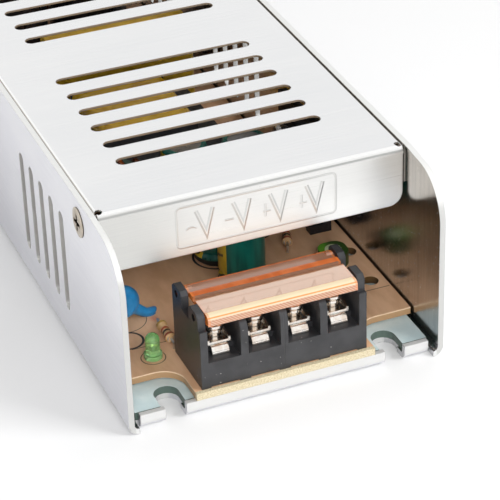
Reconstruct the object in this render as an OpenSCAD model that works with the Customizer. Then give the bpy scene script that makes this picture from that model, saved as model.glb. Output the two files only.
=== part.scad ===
// Slim fanless power supply for lamps: a folded sheet chassis with a vented cover,
// a circuit board on an insulating pad, and a screw terminal block at each open end.
// +X is the width, +Y runs from the output end to the input end, +Z is up.
// The origin is on the table under the middle of the case.

/* [Case] */
// Length of the side walls
case_length = 227; // [206:1:270]
// Width over the side walls
case_width = 68; // [66:0.5:90]
// Height of the walls and cover
case_height = 41; // [39:0.5:60]
// Thickness of the chassis sheet
chassis_sheet = 1.2; // [0.8:0.1:1.5]
// Outer radius of the bend between floor and wall
floor_bend = 2.2; // [1.8:0.1:3]
// Radius of the rounded wall corner at each open end
wall_corner = 10; // [6:0.5:14]
// Fall of the wall's top edge between the cover and the rounded corner
wall_fall = 0.5; // [0.2:0.1:1]

/* [Lip and mounting slots] */
// Set-back of the turned-up lip from the wall's end
lip_setback = 1.2; // [0.6:0.1:2.5]
// Height of the lip over the table
lip_height = 3.3; // [3:0.1:5]
// Outer radius of the lip's bend
lip_bend = 1.8; // [1.6:0.1:2.2]
// Gap between the lip's outer end and the wall's bend
lip_notch = 0.6; // [0.2:0.1:3]
// Width of an open mounting slot
mount_slot = 5.2; // [4.6:0.1:6]
// Width of the gap that the slot leaves in the lip
mount_neck = 4.4; // [4.4:0.1:4.6]
// Distance between the two slots of one end
mount_spacing = 47.4; // [46:0.2:48]
// Distance from the wall's end to the round end's centre
mount_reach = 6.7; // [6:0.1:7.5]

/* [Vents] */
// Vents in one group on the cover
cover_vents = 6; // [4:1:6]
// Groups of vents along the cover
cover_groups = 3; // [2:1:3]
// Length of a cover vent
cover_vent_length = 44.4; // [30:0.2:50]
// Width of a cover vent
cover_vent_width = 3; // [2:0.1:4]
// Distance from one cover vent to the next
cover_vent_pitch = 7.675; // [6:0.025:8.5]
// Distance from one group's middle to the next
cover_group_pitch = 60.2; // [55:0.2:64]
// Vents in one group on a wall
wall_vents = 5; // [3:1:6]
// Length of a wall vent
wall_vent_length = 23.3; // [16:0.1:24]
// Width of a wall vent
wall_vent_width = 3; // [2:0.1:4]
// Distance from one wall vent to the next
wall_vent_pitch = 6.65; // [5:0.05:7]
// Height of a wall vent's lower end
wall_vent_low = 8.4; // [6:0.1:12]
// Distance from the output end to the first wall vent
wall_vent_start = 35.9; // [32:0.1:45]
// Groups of vents along a wall
wall_groups = 3; // [1:1:3]
// Groups left out of the right wall at its output end, beside the heat spreader
right_wall_skip = 1; // [0:1:2]
// Distance from one wall group to the next
wall_group_pitch = 59.2; // [50:0.2:62]

/* [Cover] */
// Thickness of the cover sheet
cover_sheet = 0.5; // [0.4:0.1:1]
// Set-back of the cover's end flange from the wall's end
cover_setback = 15.7; // [15.2:0.1:19]
// Height of the end flange
flange_drop = 13.2; // [9:0.1:14]
// Height of the flange inside each wall
side_drop = 8.8; // [8:0.1:9]
// Outer radius of the end bends
end_bend = 1.6; // [1.2:0.1:2.4]
// Outer radius of the side bends
side_bend = 0.9; // [0.8:0.1:2]
// Diameter of the round hole at each corner of the bends
relief_hole = 1.6; // [1:0.1:2.4]
// Gap between the cover and the wall
cover_gap = 0.1; // [0.1:0.05:0.4]
// Radius of the end flange's lower corners
flange_corner = 3; // [1:0.1:5]
// Distance from the wall's end to a cover screw
screw_reach = 23.5; // [21:0.1:28]
// Height of a cover screw below the wall's top
screw_depth = 5.1; // [4:0.1:6]
// Head diameter of a cover screw
screw_head = 6.2; // [5:0.1:6.5]
// Height of a cover screw's head over the wall
screw_rise = 0.4; // [0.1:0.1:0.6]
// Thread diameter of a cover screw
screw_thread = 2.9; // [2.4:0.1:3.2]
// Length of a cover screw
screw_length = 4.2; // [3.4:0.1:6]

/* [Board] */
// Thickness of the insulating pad
pad_thick = 1.7; // [0.8:0.1:1.9]
// Gap between the pad and the bends round it
pad_gap = 0.1; // [0.05:0.05:2]
// Thickness of the circuit board
board_thick = 1.6; // [1:0.1:2]
// Gap between the board and the wall's inner face
board_gap = 0.4; // [0.3:0.1:1]
// Half width of the tongue under the terminal block
tongue_half = 19.3; // [18.6:0.1:20]
// Depth of the corner cut-out round a mounting slot
corner_cut = 10.7; // [9.6:0.1:11.5]
// Radius of the cut-out's inner corner
corner_cut_round = 5; // [2:0.1:6]
// Diameter of the board's fixing holes
board_hole = 3.4; // [3.2:0.1:4]
// Outer diameter of a board spacer
spacer_size = 5; // [4.6:0.1:6]

/* [Terminals] */
// Poles of the output block
output_poles = 4; // [2:1:4]
// Poles of the input block
input_poles = 3; // [2:1:4]
// Distance between poles
pole_pitch = 8.5; // [8.3:0.05:8.8]
// Thickness of dividers and end plates
divider = 1.6; // [1.2:0.1:1.7]
// Depth of the block
block_depth = 14.9; // [14.5:0.1:15.4]
// Height of the block's front ledge
ledge_height = 5.9; // [4.5:0.1:6.5]
// Height of the dividers
divider_height = 13.7; // [13:0.1:14]
// Height of the end plates' lugs
lug_height = 16.8; // [16.6:0.1:18]
// Height of the flip cover's pins over the board
pin_height = 15.2; // [15:0.05:15.3]
// Diameter of the flip cover's pins
pin_size = 1.5; // [1.2:0.1:1.6]
// Thickness of the flip cover
flip_thick = 1.2; // [0.9:0.1:1.3]
// Width of a clamp washer, across the pole
clamp_width = 5; // [4.8:0.1:5.6]
// Depth of a clamp washer, along the wire
clamp_depth = 6.2; // [5.6:0.1:6.4]
// Thickness of a clamp washer
clamp_thick = 0.6; // [0.5:0.1:0.9]
// Head diameter of a terminal screw
terminal_head = 5; // [4.6:0.1:5.2]
// Height of a terminal screw's head
terminal_head_height = 1.6; // [1.4:0.1:2]
// Thread diameter of a terminal screw
terminal_thread = 3; // [2.5:0.1:3]
// Diameter of the collar under a terminal screw's head
terminal_collar = 3.8; // [3.6:0.1:4.2]
// Distance from the block's front face to the screws
screw_y = 6; // [5.8:0.1:6.4]

/* [Capacitors] */
// Diameter of an output capacitor
output_can = 10; // [8:0.5:10]
// Height of an output capacitor
output_can_height = 23; // [12:0.5:25]
// Diameter of a bulk capacitor
bulk_can = 20; // [16:0.5:20]
// Height of a bulk capacitor
bulk_can_height = 27; // [20:0.5:28]
// Length of the box capacitor, across the case
box_length = 34; // [26:0.5:36]
// Depth of the box capacitor, along the case
box_depth = 11; // [8:0.5:12]
// Height of the box capacitor
box_height = 28; // [18:0.5:30]
// Diameter of the disc capacitor
disc_size = 7.6; // [7:0.1:9]
// Thickness of the disc capacitor
disc_thick = 3.8; // [3:0.1:4.4]
// Height of the disc capacitor's centre over the board
disc_level = 4.4; // [4:0.1:6]
// Thickness of the disc capacitor's coated legs
disc_leg = 2; // [1:0.1:2.4]

/* [Transformer and chokes] */
// Width of the transformer's core
core_width = 34; // [32:0.5:36]
// Length of the transformer's core
core_length = 34; // [30:0.5:34]
// Thickness of the transformer's core
core_thick = 10.4; // [9:0.1:11]
// Width of the core's outer legs and ends
core_leg = 5.5; // [5:0.1:6]
// Width of the core's middle leg
middle_leg = 10; // [9:0.1:11]
// Wall of the transformer's bobbin
bobbin_wall = 0.8; // [0.6:0.1:1]
// Height of the bobbin's back flange over the winding
bobbin_rise = 1.4; // [0.5:0.1:1.8]
// Outer diameter of the choke rings
ring_outer = 20; // [16:0.5:20]
// Bore of the choke rings
ring_bore = 10.5; // [9.5:0.5:11]
// Height of the choke rings
ring_height = 8; // [5:0.5:9]
// Diameter of the choke wire
choke_wire = 1.3; // [0.8:0.1:1.4]
// Turns on a choke
choke_turns = 14; // [8:1:14]
// Width of the driver transformer's core
driver_width = 13; // [11:0.5:14]
// Height of the driver transformer's core
driver_height = 11; // [9:0.5:13]
// Depth of the driver transformer's core
driver_core = 4; // [3:0.5:5]
// Depth of the driver transformer's winding
driver_winding = 10; // [8:0.5:10]

/* [Power parts] */
// Height of the heat spreaders
spreader_height = 24; // [20:0.5:26]
// Thickness of the heat spreaders
spreader_thick = 2; // [1.5:0.1:2.4]
// Length of the heat spreaders
spreader_length = 24; // [23.5:0.5:26]
// Width of a power part
device_width = 10; // [9:0.1:10.4]
// Height of a power part with its tab
device_height = 16; // [15:0.1:17]
// Height of a power part's moulded body
device_body = 9.5; // [9:0.1:10]
// Thickness of a power part's body
device_thick = 4.4; // [4:0.1:4.8]
// Thickness of a power part's tab
device_tab = 1.3; // [1:0.1:1.5]
// Height of a power part over the board
device_lift = 3; // [2:0.1:4]
// Distance between the two power parts on a spreader
device_spread = 12; // [11:0.1:13]
// Thread of a power part's screw
device_screw = 3; // [2.5:0.1:3.2]

/* [Small parts] */
// Diameter of the lamp
lamp_size = 3; // [2.8:0.1:3.2]
// Diameter of the lamp's rim
lamp_rim = 3.8; // [3.5:0.1:4]
// Height of the lamp's rim over the board
lamp_lift = 0.2; // [0.1:0.1:3]
// Height of the lamp from its rim to its top
lamp_height = 5.6; // [4.5:0.1:6]
// Width of the adjuster
adjuster_size = 6.2; // [6:0.1:7]
// Height of the adjuster
adjuster_height = 3.2; // [3:0.1:5]
// Diameter of the adjuster's rotor
rotor_size = 3.6; // [3:0.1:4]
// Length of an axial resistor's body
axial_length = 6; // [4:0.1:6.4]
// Diameter of an axial resistor's body
axial_size = 2.2; // [1.6:0.1:2.4]
// Diameter of thin leads
lead_size = 0.6; // [0.5:0.05:0.8]
// Width of the control chip's body
chip_width = 6.4; // [6:0.1:6.6]
// Distance between the control chip's legs
chip_pitch = 2.54; // [2.3:0.01:2.54]
// Legs on each side of the control chip
chip_legs = 8; // [4:1:8]
// Thickness of the control chip
chip_thick = 3.3; // [3:0.1:3.6]
// Width of the bridge rectifier
bridge_width = 22; // [18:0.5:23]
// Height of the bridge rectifier's body
bridge_height = 18; // [14:0.5:20]
// Thickness of the bridge rectifier
bridge_thick = 3.6; // [3.2:0.1:4]
// Diameter of the inrush thermistor
thermistor_size = 11; // [9:0.5:11.5]
// Thickness of the inrush thermistor
thermistor_thick = 4.5; // [4:0.1:5]
// Diameter of the varistor
varistor_size = 12; // [10:0.5:13]
// Thickness of the varistor
varistor_thick = 4.2; // [3.5:0.1:5]
// Length of the fuse
fuse_length = 20; // [18:0.5:20]
// Diameter of the fuse's caps
fuse_size = 5.2; // [5:0.1:6]
// Length of a fuse cap
fuse_cap = 5; // [4:0.1:6]

/* [Places on the board] */
// Lamp, from the left edge
lamp_from_left = 9.8; // [8:0.1:10]
// Lamp, from the output end
lamp_from_output = 16.9; // [16:0.1:18]
// Disc capacitor, from the left edge
disc_from_left = 8.8; // [8:0.1:10]
// Disc capacitor, from the output end
disc_from_output = 32.4; // [30:0.1:36]
// Adjuster, from the right edge
adjuster_from_right = 7.2; // [6.8:0.1:8]
// Adjuster, from the output end
adjuster_from_output = 34.9; // [32:0.1:40]
// First resistor, from the middle line
first_axial_x = -17.6; // [-19:0.1:-16]
// First resistor, from the output end
first_axial_from_output = 22.8; // [22.6:0.1:24]
// Second resistor, from the middle line
second_axial_x = 19.5; // [18:0.1:21]
// Second resistor, from the output end
second_axial_from_output = 47; // [45:0.1:48]
// Third resistor, from the middle line
third_axial_x = -3; // [-8:0.1:0]
// Third resistor, from the input end
third_axial_from_input = 86; // [84:0.1:88]
// Front output capacitor, from the middle line
front_can_x = 4.8; // [4:0.1:6]
// Front output capacitor, from the output end
front_can_from_output = 36.5; // [34:0.1:37]
// Middle output capacitor, from the middle line
middle_can_x = 3.4; // [3:0.1:4]
// Middle output capacitor, from the output end
middle_can_from_output = 47.6; // [47:0.1:48]
// Back output capacitor, from the middle line
back_can_x = 0.8; // [0.7:0.1:1.2]
// Back output capacitor, from the output end
back_can_from_output = 58.3; // [57.8:0.1:58.6]
// Right output capacitor, from the middle line
right_can_x = 13.6; // [13:0.1:15]
// Right output capacitor, from the output end
right_can_from_output = 55; // [54:0.1:58]
// Output choke, from the middle line
output_choke_x = -16; // [-16.4:0.1:-15.9]
// Output choke, from the output end
output_choke_from_output = 58; // [57.8:0.1:58.2]
// Output spreader, from the output end
output_spreader_from_output = 59; // [56:0.1:60]
// Transformer, from the output end
transformer_from_output = 81; // [80.8:0.1:82]
// Transformer, from the middle line
transformer_x = -2.5; // [-3:0.1:0]
// Box capacitor, from the middle line
box_x = 3.5; // [-4:0.1:6]
// Box capacitor, from the output end
box_from_output = 108.5; // [108:0.1:110]
// Driver transformer, from the middle line
driver_x = 13.5; // [12:0.1:14]
// Driver transformer, from the input end
driver_from_input = 80; // [79:0.1:83]
// Control chip, from the right edge
chip_from_right = 6.1; // [5.6:0.1:6.3]
// Control chip, from the input end
chip_from_input = 79; // [78:0.1:82]
// Primary spreader, from the input end
primary_spreader_from_input = 72; // [70:0.1:76]
// First bulk capacitor, from the middle line
first_bulk_x = 14; // [13:0.1:14.5]
// First bulk capacitor, from the input end
first_bulk_from_input = 63; // [62:0.1:64]
// Second bulk capacitor, from the middle line
second_bulk_x = -9; // [-10:0.1:-8]
// Second bulk capacitor, from the input end
second_bulk_from_input = 69; // [67:0.1:71]
// Bridge rectifier, from the middle line
bridge_x = -12; // [-13:0.1:-11]
// Bridge rectifier, from the input end
bridge_from_input = 54; // [53:0.1:55]
// Thermistor, from the middle line
thermistor_x = -3; // [-5:0.1:-3]
// Thermistor, from the input end
thermistor_from_input = 42; // [40:0.1:45]
// Line choke, from the middle line
line_choke_x = 14.5; // [14:0.1:17]
// Line choke, from the input end
line_choke_from_input = 38; // [34:0.1:38.5]
// Varistor, from the middle line
varistor_x = -15; // [-15:0.1:-12]
// Varistor, from the input end
varistor_from_input = 34; // [26:0.1:35]
// Fuse, from the left edge
fuse_from_left = 7.4; // [6:0.1:7.6]
// Fuse, from the input end
fuse_from_input = 31; // [30:0.1:33]
// Spacers, from the side edges
spacer_inset = 4.9; // [4.5:0.1:5.3]
// Left spacer, from the output end
left_spacer_from_output = 44; // [43:0.1:45]
// Right spacer, from the output end
right_spacer_from_output = 80; // [78:0.1:84]
// Far spacers, from the input end
spacers_from_input = 50; // [48:0.1:52]
// Empty holes, from the side edges
empty_hole_inset = 3.2; // [2.4:0.1:4]
// Front pair of empty holes, from the output end
empty_holes_from_output = 24.6; // [22:0.1:26]
// Single empty hole by the right edge, from that edge
single_hole_inset = 2.5; // [2.4:0.1:4]
// Single empty hole by the right edge, from the output end
single_hole_from_output = 37.3; // [36:0.1:39]
// Heat spreaders, from the wall's inner face
spreader_setback = 4.6; // [4.2:0.1:5]

/* [Hidden] */
$fn = 48;

joined = 0.01;
cut = 1;
front = -case_length / 2;
wall_inner = case_width / 2 - chassis_sheet;
board_low = lip_height;
board_top = board_low + board_thick;
board_half = wall_inner - board_gap;
board_end = case_length / 2 - lip_setback;
cover_half = wall_inner - cover_gap;
cover_end = case_length / 2 - cover_setback;
screw_level = case_height - screw_depth;
neck_half = mount_neck / 2;
mount_x = mount_spacing / 2;
lip_outer = case_width / 2 - floor_bend - lip_notch;

// places on the board: x from its left or right edge or middle line, y from the output or the input end
function from_left(x) = -board_half + x;
function from_right(x) = board_half - x;
function from_output(x, y) = [x, front + y, board_top];
function from_input(x, y) = [x, -front - y, board_top];

spacer_places = [from_output(from_left(spacer_inset), left_spacer_from_output),
    from_output(from_right(spacer_inset), right_spacer_from_output),
    from_input(from_left(spacer_inset), spacers_from_input),
    from_input(from_right(spacer_inset), spacers_from_input)];
spacer_play = 0.3;
board_screw_play = 0.7;
empty_hole_places = [from_output(from_left(empty_hole_inset), empty_holes_from_output),
    from_output(from_right(empty_hole_inset), empty_holes_from_output),
    from_output(from_right(single_hole_inset), single_hole_from_output)];
spreader_x = wall_inner - spreader_setback;

// block measures, in the block's own frame: y from its front face, z from the board
block_from_lip = 0.9;
block_setback = lip_setback + block_from_lip;
pole_gap = pole_pitch - divider;
pedestal_rise = 1;
contact_thick = 1;
contact_roll = 1.9;
contact_front = 2;
contact_width = 3.6;
collar_height = 0.5;
foot_rise = 0.3;
foot_width = 2.4;
contact_top = ledge_height + pedestal_rise + contact_thick;
contact_play = 0.1;
thread_play = 0.1;
back_setback = 0.7;
base_depth = block_depth - contact_thick - back_setback;
seat_gap = 0.05;
running = 0.05;
lug_width = 5;
front_lug_setback = 0.9;
pin_inset = 2.3;
pin_y = block_depth - pin_inset;
flip_side_gap = 0.3;
flip_skirt = 2.1;
flip_tail = 1;

// flat outlines

module slot_outline(length, width) {
    square([length - width, width], center = true);
    for (side = [-1, 1]) translate([side * (length - width) / 2, 0]) circle(d = width);
}

module rounded_outline(width, depth, radius) {
    square([width, depth - 2 * radius], center = true);
    square([width - 2 * radius, depth], center = true);
    for (x = [-1, 1]) for (y = [-1, 1])
        translate([x * (width / 2 - radius), y * (depth / 2 - radius)]) circle(r = radius);
}

module tray_outline(width, height, radius) {
    translate([-width / 2, radius]) square([width, height - radius]);
    translate([-width / 2 + radius, 0]) square([width - 2 * radius, radius + joined]);
    for (side = [-1, 1]) translate([side * (width / 2 - radius), radius]) circle(r = radius);
}

// quarter of a sheet's bend, in the corner that lies towards -x and -y of its centre
module bend_outline(outer, sheet) {
    intersection() {
        difference() {
            circle(r = outer);
            circle(r = outer - sheet);
        }
        translate([-outer - cut, -outer - cut]) square(outer + cut);
    }
}

// extrudes an outline drawn in y and z along x, between two values of x
module along_x(low, high) {
    translate([low, 0, 0]) rotate([90, 0, 90]) linear_extrude(high - low) children();
}

module cross_recess(size, depth) {
    for (turn = [0, 90]) rotate([0, 0, turn])
        translate([-size / 2, -size / 8, -depth]) cube([size, size / 4, depth + cut]);
}

module both_ends() {
    children();
    rotate([0, 0, 180]) children();
}

module at_cover_screws() {
    for (side = [-1, 1]) for (end = [-1, 1])
        translate([side * case_width / 2, end * (case_length / 2 - screw_reach), screw_level])
            rotate([0, side * 90, 0]) children();
}

module countersunk(head, thread, length) {
    sink = min((head - thread) / 2, chassis_sheet);
    rotate_extrude()
        polygon([[0, 0], [head / 2, 0], [thread / 2, -sink], [thread / 2, -length], [0, -length]]);
}

// chassis: one folded sheet

module lip_outline() {
    translate([lip_bend, lip_bend]) bend_outline(lip_bend, chassis_sheet);
    translate([0, lip_bend - joined]) square([chassis_sheet, lip_height - lip_bend + joined]);
    translate([lip_bend - joined, 0]) square([lip_bend, chassis_sheet]);
}

module lip() {
    translate([0, front + lip_setback, 0]) {
        along_x(-mount_x + neck_half, mount_x - neck_half) lip_outline();
        for (side = [0, 1]) mirror([side, 0, 0]) along_x(mount_x + neck_half, lip_outer) lip_outline();
    }
}

module mount_slots(low, high) {
    translate([0, 0, low]) linear_extrude(high - low)
        for (side = [-1, 1]) translate([side * mount_x, front + mount_reach]) {
            circle(d = mount_slot);
            translate([-mount_slot / 2, -mount_reach + lip_setback + lip_bend])
                square([mount_slot, mount_reach - lip_setback - lip_bend]);
            translate([-neck_half, -mount_reach]) square([mount_neck, mount_reach]);
        }
}

module wall_end_cut() {
    top = case_height - wall_fall;
    along_x(-case_width, case_width) translate([front, 0]) {
        difference() {
            translate([-cut, top - wall_corner]) square([wall_corner + cut, wall_corner + cut + wall_fall]);
            translate([wall_corner, top - wall_corner]) circle(r = wall_corner);
        }
        polygon([[wall_corner - joined, top], [cover_setback, case_height],
            [cover_setback, case_height + cut], [wall_corner - joined, case_height + cut]]);
    }
}

module wall_vent_cuts() {
    for (right = [0, 1]) for (group = [right * right_wall_skip : 1 : wall_groups - 1])
        for (number = [0 : wall_vents - 1]) mirror([1 - right, 0, 0]) along_x(0, case_width)
            translate([front + wall_vent_start + group * wall_group_pitch + number * wall_vent_pitch,
                wall_vent_low + wall_vent_length / 2])
                rotate(90) slot_outline(wall_vent_length, wall_vent_width);
}

module chassis() {
    color([0.80, 0.80, 0.83]) {
        difference() {
            translate([0, -front, 0]) rotate([90, 0, 0]) linear_extrude(case_length) difference() {
                tray_outline(case_width, case_height, floor_bend);
                translate([0, chassis_sheet])
                    tray_outline(2 * wall_inner, case_height, floor_bend - chassis_sheet);
            }
            both_ends() {
                floor_half = case_width / 2 - floor_bend;
                translate([-floor_half, front - cut, -cut])
                    cube([2 * floor_half, lip_setback + lip_bend + cut, chassis_sheet + 1.5 * cut]);
                mount_slots(-cut, lip_height + cut);
                wall_end_cut();
            }
            wall_vent_cuts();
            at_cover_screws() translate([0, 0, joined])
                countersunk(screw_head + 2 * running, screw_thread + 2 * running, screw_length);
        }
        both_ends() lip();
    }
}

// cover: one folded sheet between the walls

module cover_vent_cuts() {
    for (group = [0 : cover_groups - 1]) for (number = [0 : cover_vents - 1])
        translate([0, (group - (cover_groups - 1) / 2) * cover_group_pitch
            + (number - (cover_vents - 1) / 2) * cover_vent_pitch])
            slot_outline(cover_vent_length, cover_vent_width);
}

module end_flange_outline() {
    half = cover_half - relief_hole / 3;
    intersection() {
        translate([0, flange_drop / 2 - flange_drop])
            rounded_outline(2 * half, flange_drop, flange_corner);
        translate([-half, -flange_drop - cut]) square([2 * half, flange_drop - end_bend + cut]);
    }
    translate([-half, -end_bend - flange_corner]) square([2 * half, flange_corner]);
}

module top_cover() {
    flat_half = cover_half - side_bend;
    flat_end = cover_end - end_bend;
    lap_half = flat_half + relief_hole / 3;
    lap_end = flat_end + relief_hole / 3;
    color([0.86, 0.86, 0.88]) translate([0, 0, case_height]) difference() {
        union() {
            translate([0, 0, -cover_sheet]) linear_extrude(cover_sheet) difference() {
                square([2 * flat_half, 2 * flat_end], center = true);
                cover_vent_cuts();
            }
            for (turn = [0, 180]) rotate([0, 0, turn]) {
                translate([0, -flat_end, 0]) along_x(-lap_half, lap_half)
                    translate([joined, -end_bend]) mirror([0, 1]) bend_outline(end_bend, cover_sheet);
                translate([0, -cover_end + cover_sheet, 0]) rotate([90, 0, 0])
                    linear_extrude(cover_sheet) end_flange_outline();
                translate([-flat_half, lap_end, 0]) rotate([90, 0, 0]) linear_extrude(2 * lap_end)
                    translate([joined, -side_bend]) mirror([0, 1]) bend_outline(side_bend, cover_sheet);
                translate([-cover_half, -lap_end, -side_drop])
                    cube([cover_sheet, 2 * lap_end, side_drop - side_bend + joined]);
            }
        }
        for (x = [-1, 1]) for (y = [-1, 1]) translate([x * flat_half, y * flat_end, -end_bend])
            cylinder(d = relief_hole, h = end_bend + cut);
        translate([0, 0, -case_height]) at_cover_screws()
            translate([0, 0, -screw_length]) cylinder(d = screw_thread + 2 * running, h = screw_length + cut);
    }
}

module cover_screws() {
    recess_depth = 0.9;
    edge = 0.7;
    color([0.72, 0.72, 0.74]) at_cover_screws() difference() {
        union() {
            countersunk(screw_head, screw_thread, screw_length);
            rotate_extrude() polygon([[0, -joined], [screw_head / 2 - joined, -joined],
                [screw_head / 2, screw_rise / 2], [screw_head / 2 - edge, screw_rise], [0, screw_rise]]);
        }
        translate([0, 0, screw_rise]) cross_recess(screw_head * 0.6, recess_depth);
    }
}

// board and what it lies on

module insulation_pad() {
    pad_half = case_width / 2 - floor_bend - pad_gap;
    pad_end = board_end - lip_bend - pad_gap;
    color([0.70, 0.77, 0.79]) translate([0, 0, chassis_sheet]) difference() {
        translate([-pad_half, -pad_end, 0]) cube([2 * pad_half, 2 * pad_end, pad_thick]);
        both_ends() mount_slots(-cut, pad_thick + cut);
        for (place = spacer_places) translate([place.x, place.y, -cut])
            cylinder(d = spacer_size + 2 * spacer_play, h = pad_thick + 2 * cut);
    }
}

module board_spacers() {
    color([0.78, 0.78, 0.80]) for (place = spacer_places) translate([place.x, place.y, chassis_sheet])
        linear_extrude(board_low - chassis_sheet) difference() {
            circle(d = spacer_size);
            circle(d = board_hole - board_screw_play + 2 * running);
        }
}

module board_corner_cut() {
    width = board_half - tongue_half;
    translate([-board_half, -board_end]) {
        translate([-cut, -cut]) square([width + cut, corner_cut + cut - corner_cut_round]);
        translate([-cut, -cut]) square([width + cut - corner_cut_round, corner_cut + cut]);
        translate([width - corner_cut_round, corner_cut - corner_cut_round]) circle(r = corner_cut_round);
    }
}

module circuit_board() {
    color([0.72, 0.55, 0.38]) translate([0, 0, board_low]) linear_extrude(board_thick) difference() {
        square([2 * board_half, 2 * board_end], center = true);
        for (x = [0, 1]) for (y = [0, 1]) mirror([x, 0]) mirror([0, y]) board_corner_cut();
        for (place = concat(spacer_places, empty_hole_places))
            translate([place.x, place.y]) circle(d = board_hole);
    }
}

module pan_screw(head, head_height, thread, length) {
    difference() {
        union() {
            rotate_extrude() polygon([[0, 0], [head / 2, 0], [head / 2, head_height * 0.6],
                [head / 2 - head_height * 0.4, head_height], [0, head_height]]);
            translate([0, 0, -length]) cylinder(d = thread, h = length + joined);
        }
        translate([0, 0, head_height]) cross_recess(head * 0.6, head_height * 0.6);
    }
}

module board_screws() {
    head = 5.4;
    head_height = 1.9;
    tip_gap = 0.2;
    color([0.75, 0.75, 0.77]) for (place = spacer_places) translate(place)
        pan_screw(head, head_height, board_hole - board_screw_play, board_top - chassis_sheet - tip_gap);
}

// terminal blocks: drawn with the front face at y = 0, on the board at z = 0

function pole_x(poles, number) = (number - (poles - 1) / 2) * pole_pitch;
function block_half(poles) = (poles * pole_pitch + divider) / 2;

module at_output() { translate([0, front + block_setback, board_top]) children(); }
module at_input() { rotate([0, 0, 180]) at_output() children(); }

module divider_outline() {
    round_top = 2.4;
    square([block_depth, divider_height - round_top]);
    translate([round_top, divider_height - round_top - joined])
        square([block_depth - 2 * round_top, round_top + joined]);
    for (y = [round_top, block_depth - round_top])
        translate([y, divider_height - round_top]) circle(r = round_top);
}

module end_plate_outline() {
    lug_bevel = 0.8;
    post_drop = 0.4;
    post_height = divider_height - post_drop;
    square([block_depth, post_height]);
    for (low = [front_lug_setback, block_depth - lug_width]) translate([low, 0])
        polygon([[0, 0], [lug_width, 0], [lug_width, lug_height - lug_bevel],
            [lug_width - lug_bevel, lug_height], [lug_bevel, lug_height], [0, lug_height - lug_bevel]]);
}

module terminal_block(poles) {
    half = block_half(poles);
    hole_floor = 1;
    hole_play = 0.4;
    difference() {
        union() {
            translate([-half, 0, 0]) cube([2 * half, base_depth, ledge_height]);
            translate([-half, contact_front + contact_roll, 0])
                cube([2 * half, base_depth - contact_front - contact_roll, ledge_height + pedestal_rise]);
            for (number = [1 : poles - 1]) {
                middle = pole_x(poles, number) - pole_pitch / 2;
                along_x(middle - divider / 2, middle + divider / 2) divider_outline();
            }
            for (low = [-half, half - divider]) along_x(low, low + divider) end_plate_outline();
        }
        for (y = [pin_y, pin_inset + front_lug_setback]) translate([-half - cut, y, pin_height])
            rotate([0, 90, 0]) cylinder(d = pin_size + 2 * running, h = 2 * half + 2 * cut);
        for (number = [0 : poles - 1]) translate([pole_x(poles, number), 0, 0]) {
            translate([0, screw_y, hole_floor]) cylinder(d = terminal_thread + 2 * hole_play, h = lug_height);
            translate([(foot_width - pole_pitch) / 2, -cut, -cut])
                cube([pole_pitch - foot_width, block_depth + 2 * cut, foot_rise + cut]);
        }
    }
}

module contacts(poles) {
    leg_y = base_depth + contact_play;
    for (number = [0 : poles - 1]) translate([pole_x(poles, number), 0, 0]) difference() {
        along_x(-contact_width / 2, contact_width / 2) {
            translate([contact_front + contact_roll, contact_top - contact_roll])
                mirror([0, 1]) bend_outline(contact_roll, contact_thick);
            translate([contact_front + contact_roll - joined, contact_top - contact_thick])
                square([leg_y + contact_thick - contact_front - contact_roll + joined, contact_thick]);
            translate([leg_y, 0]) square([contact_thick, contact_top - joined]);
        }
        translate([0, screw_y, 0]) cylinder(d = terminal_thread + 2 * thread_play, h = lug_height);
    }
}

module clamp(poles, number) {
    bend = 0.5;
    translate([pole_x(poles, number), screw_y, contact_top + seat_gap]) difference() {
        union() {
            translate([-clamp_width / 2, -clamp_depth / 2, 0]) cube([clamp_width, clamp_depth, clamp_thick]);
            for (side = [0, 1]) mirror([side, 0, 0])
                translate([clamp_width / 2 - bend, -clamp_depth / 2, clamp_thick - joined])
                    cube([bend, clamp_depth, bend]);
        }
        translate([0, 0, -cut]) cylinder(d = terminal_thread + 2 * thread_play, h = clamp_thick + 2 * cut);
    }
}

module terminal_screw(poles, number) {
    shank_sink = 3;
    neck = 1;
    flare = 0.8;
    edge = 0.3;
    shank = contact_top - ledge_height + shank_sink;
    radius = terminal_head / 2;
    height = terminal_head_height;
    translate([pole_x(poles, number), screw_y, contact_top + clamp_thick + 2 * seat_gap]) {
        translate([0, 0, -shank]) cylinder(d = terminal_thread, h = shank + neck + joined);
        translate([0, 0, neck]) cylinder(d = terminal_collar, h = collar_height + joined);
        translate([0, 0, neck + collar_height]) difference() {
            rotate_extrude() polygon([[0, 0], [radius - flare, 0], [radius, flare],
                [radius, height - edge], [radius - edge, height], [0, height]]);
            translate([0, 0, height]) cross_recess(terminal_head * 0.6, height * 0.5);
        }
    }
}

// section of the flip cover: a rolled nose, a front panel, a groove, a ridge and a rear panel
module flip_outline() {
    top = pin_height + flip_thick;
    nose = 1.1;
    ridge_from_pin = 2.4;
    ridge = 2;
    groove = 1;
    step = 0.35;
    ridge_high = pin_y - ridge_from_pin;
    groove_high = ridge_high - ridge;
    groove_low = groove_high - groove;
    polygon([[nose, pin_height], [pin_y + flip_tail, pin_height], [pin_y + flip_tail, top - step],
        [ridge_high, top - step], [ridge_high, top], [groove_high, top], [groove_high, top - 2 * step],
        [groove_low, top - 2 * step], [groove_low, top], [nose, top]]);
    translate([nose, top - nose]) circle(r = nose);
    translate([0, top - flip_skirt]) square([flip_thick, flip_skirt - nose]);
}

module flip_cover(poles) {
    half = block_half(poles) - divider - flip_side_gap;
    ear = pin_size / 2 + 0.4;
    ear_length = 1.4;
    pin_short = 0.4;
    pin_reach = divider + flip_side_gap - pin_short;
    along_x(-half, half) flip_outline();
    for (side = [0, 1]) mirror([side, 0, 0]) {
        translate([half, pin_y, pin_height]) rotate([0, 90, 0]) {
            translate([0, 0, -ear_length]) cylinder(r = ear, h = ear_length);
            translate([0, 0, -joined]) cylinder(d = pin_size, h = pin_reach);
        }
    }
}

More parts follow.
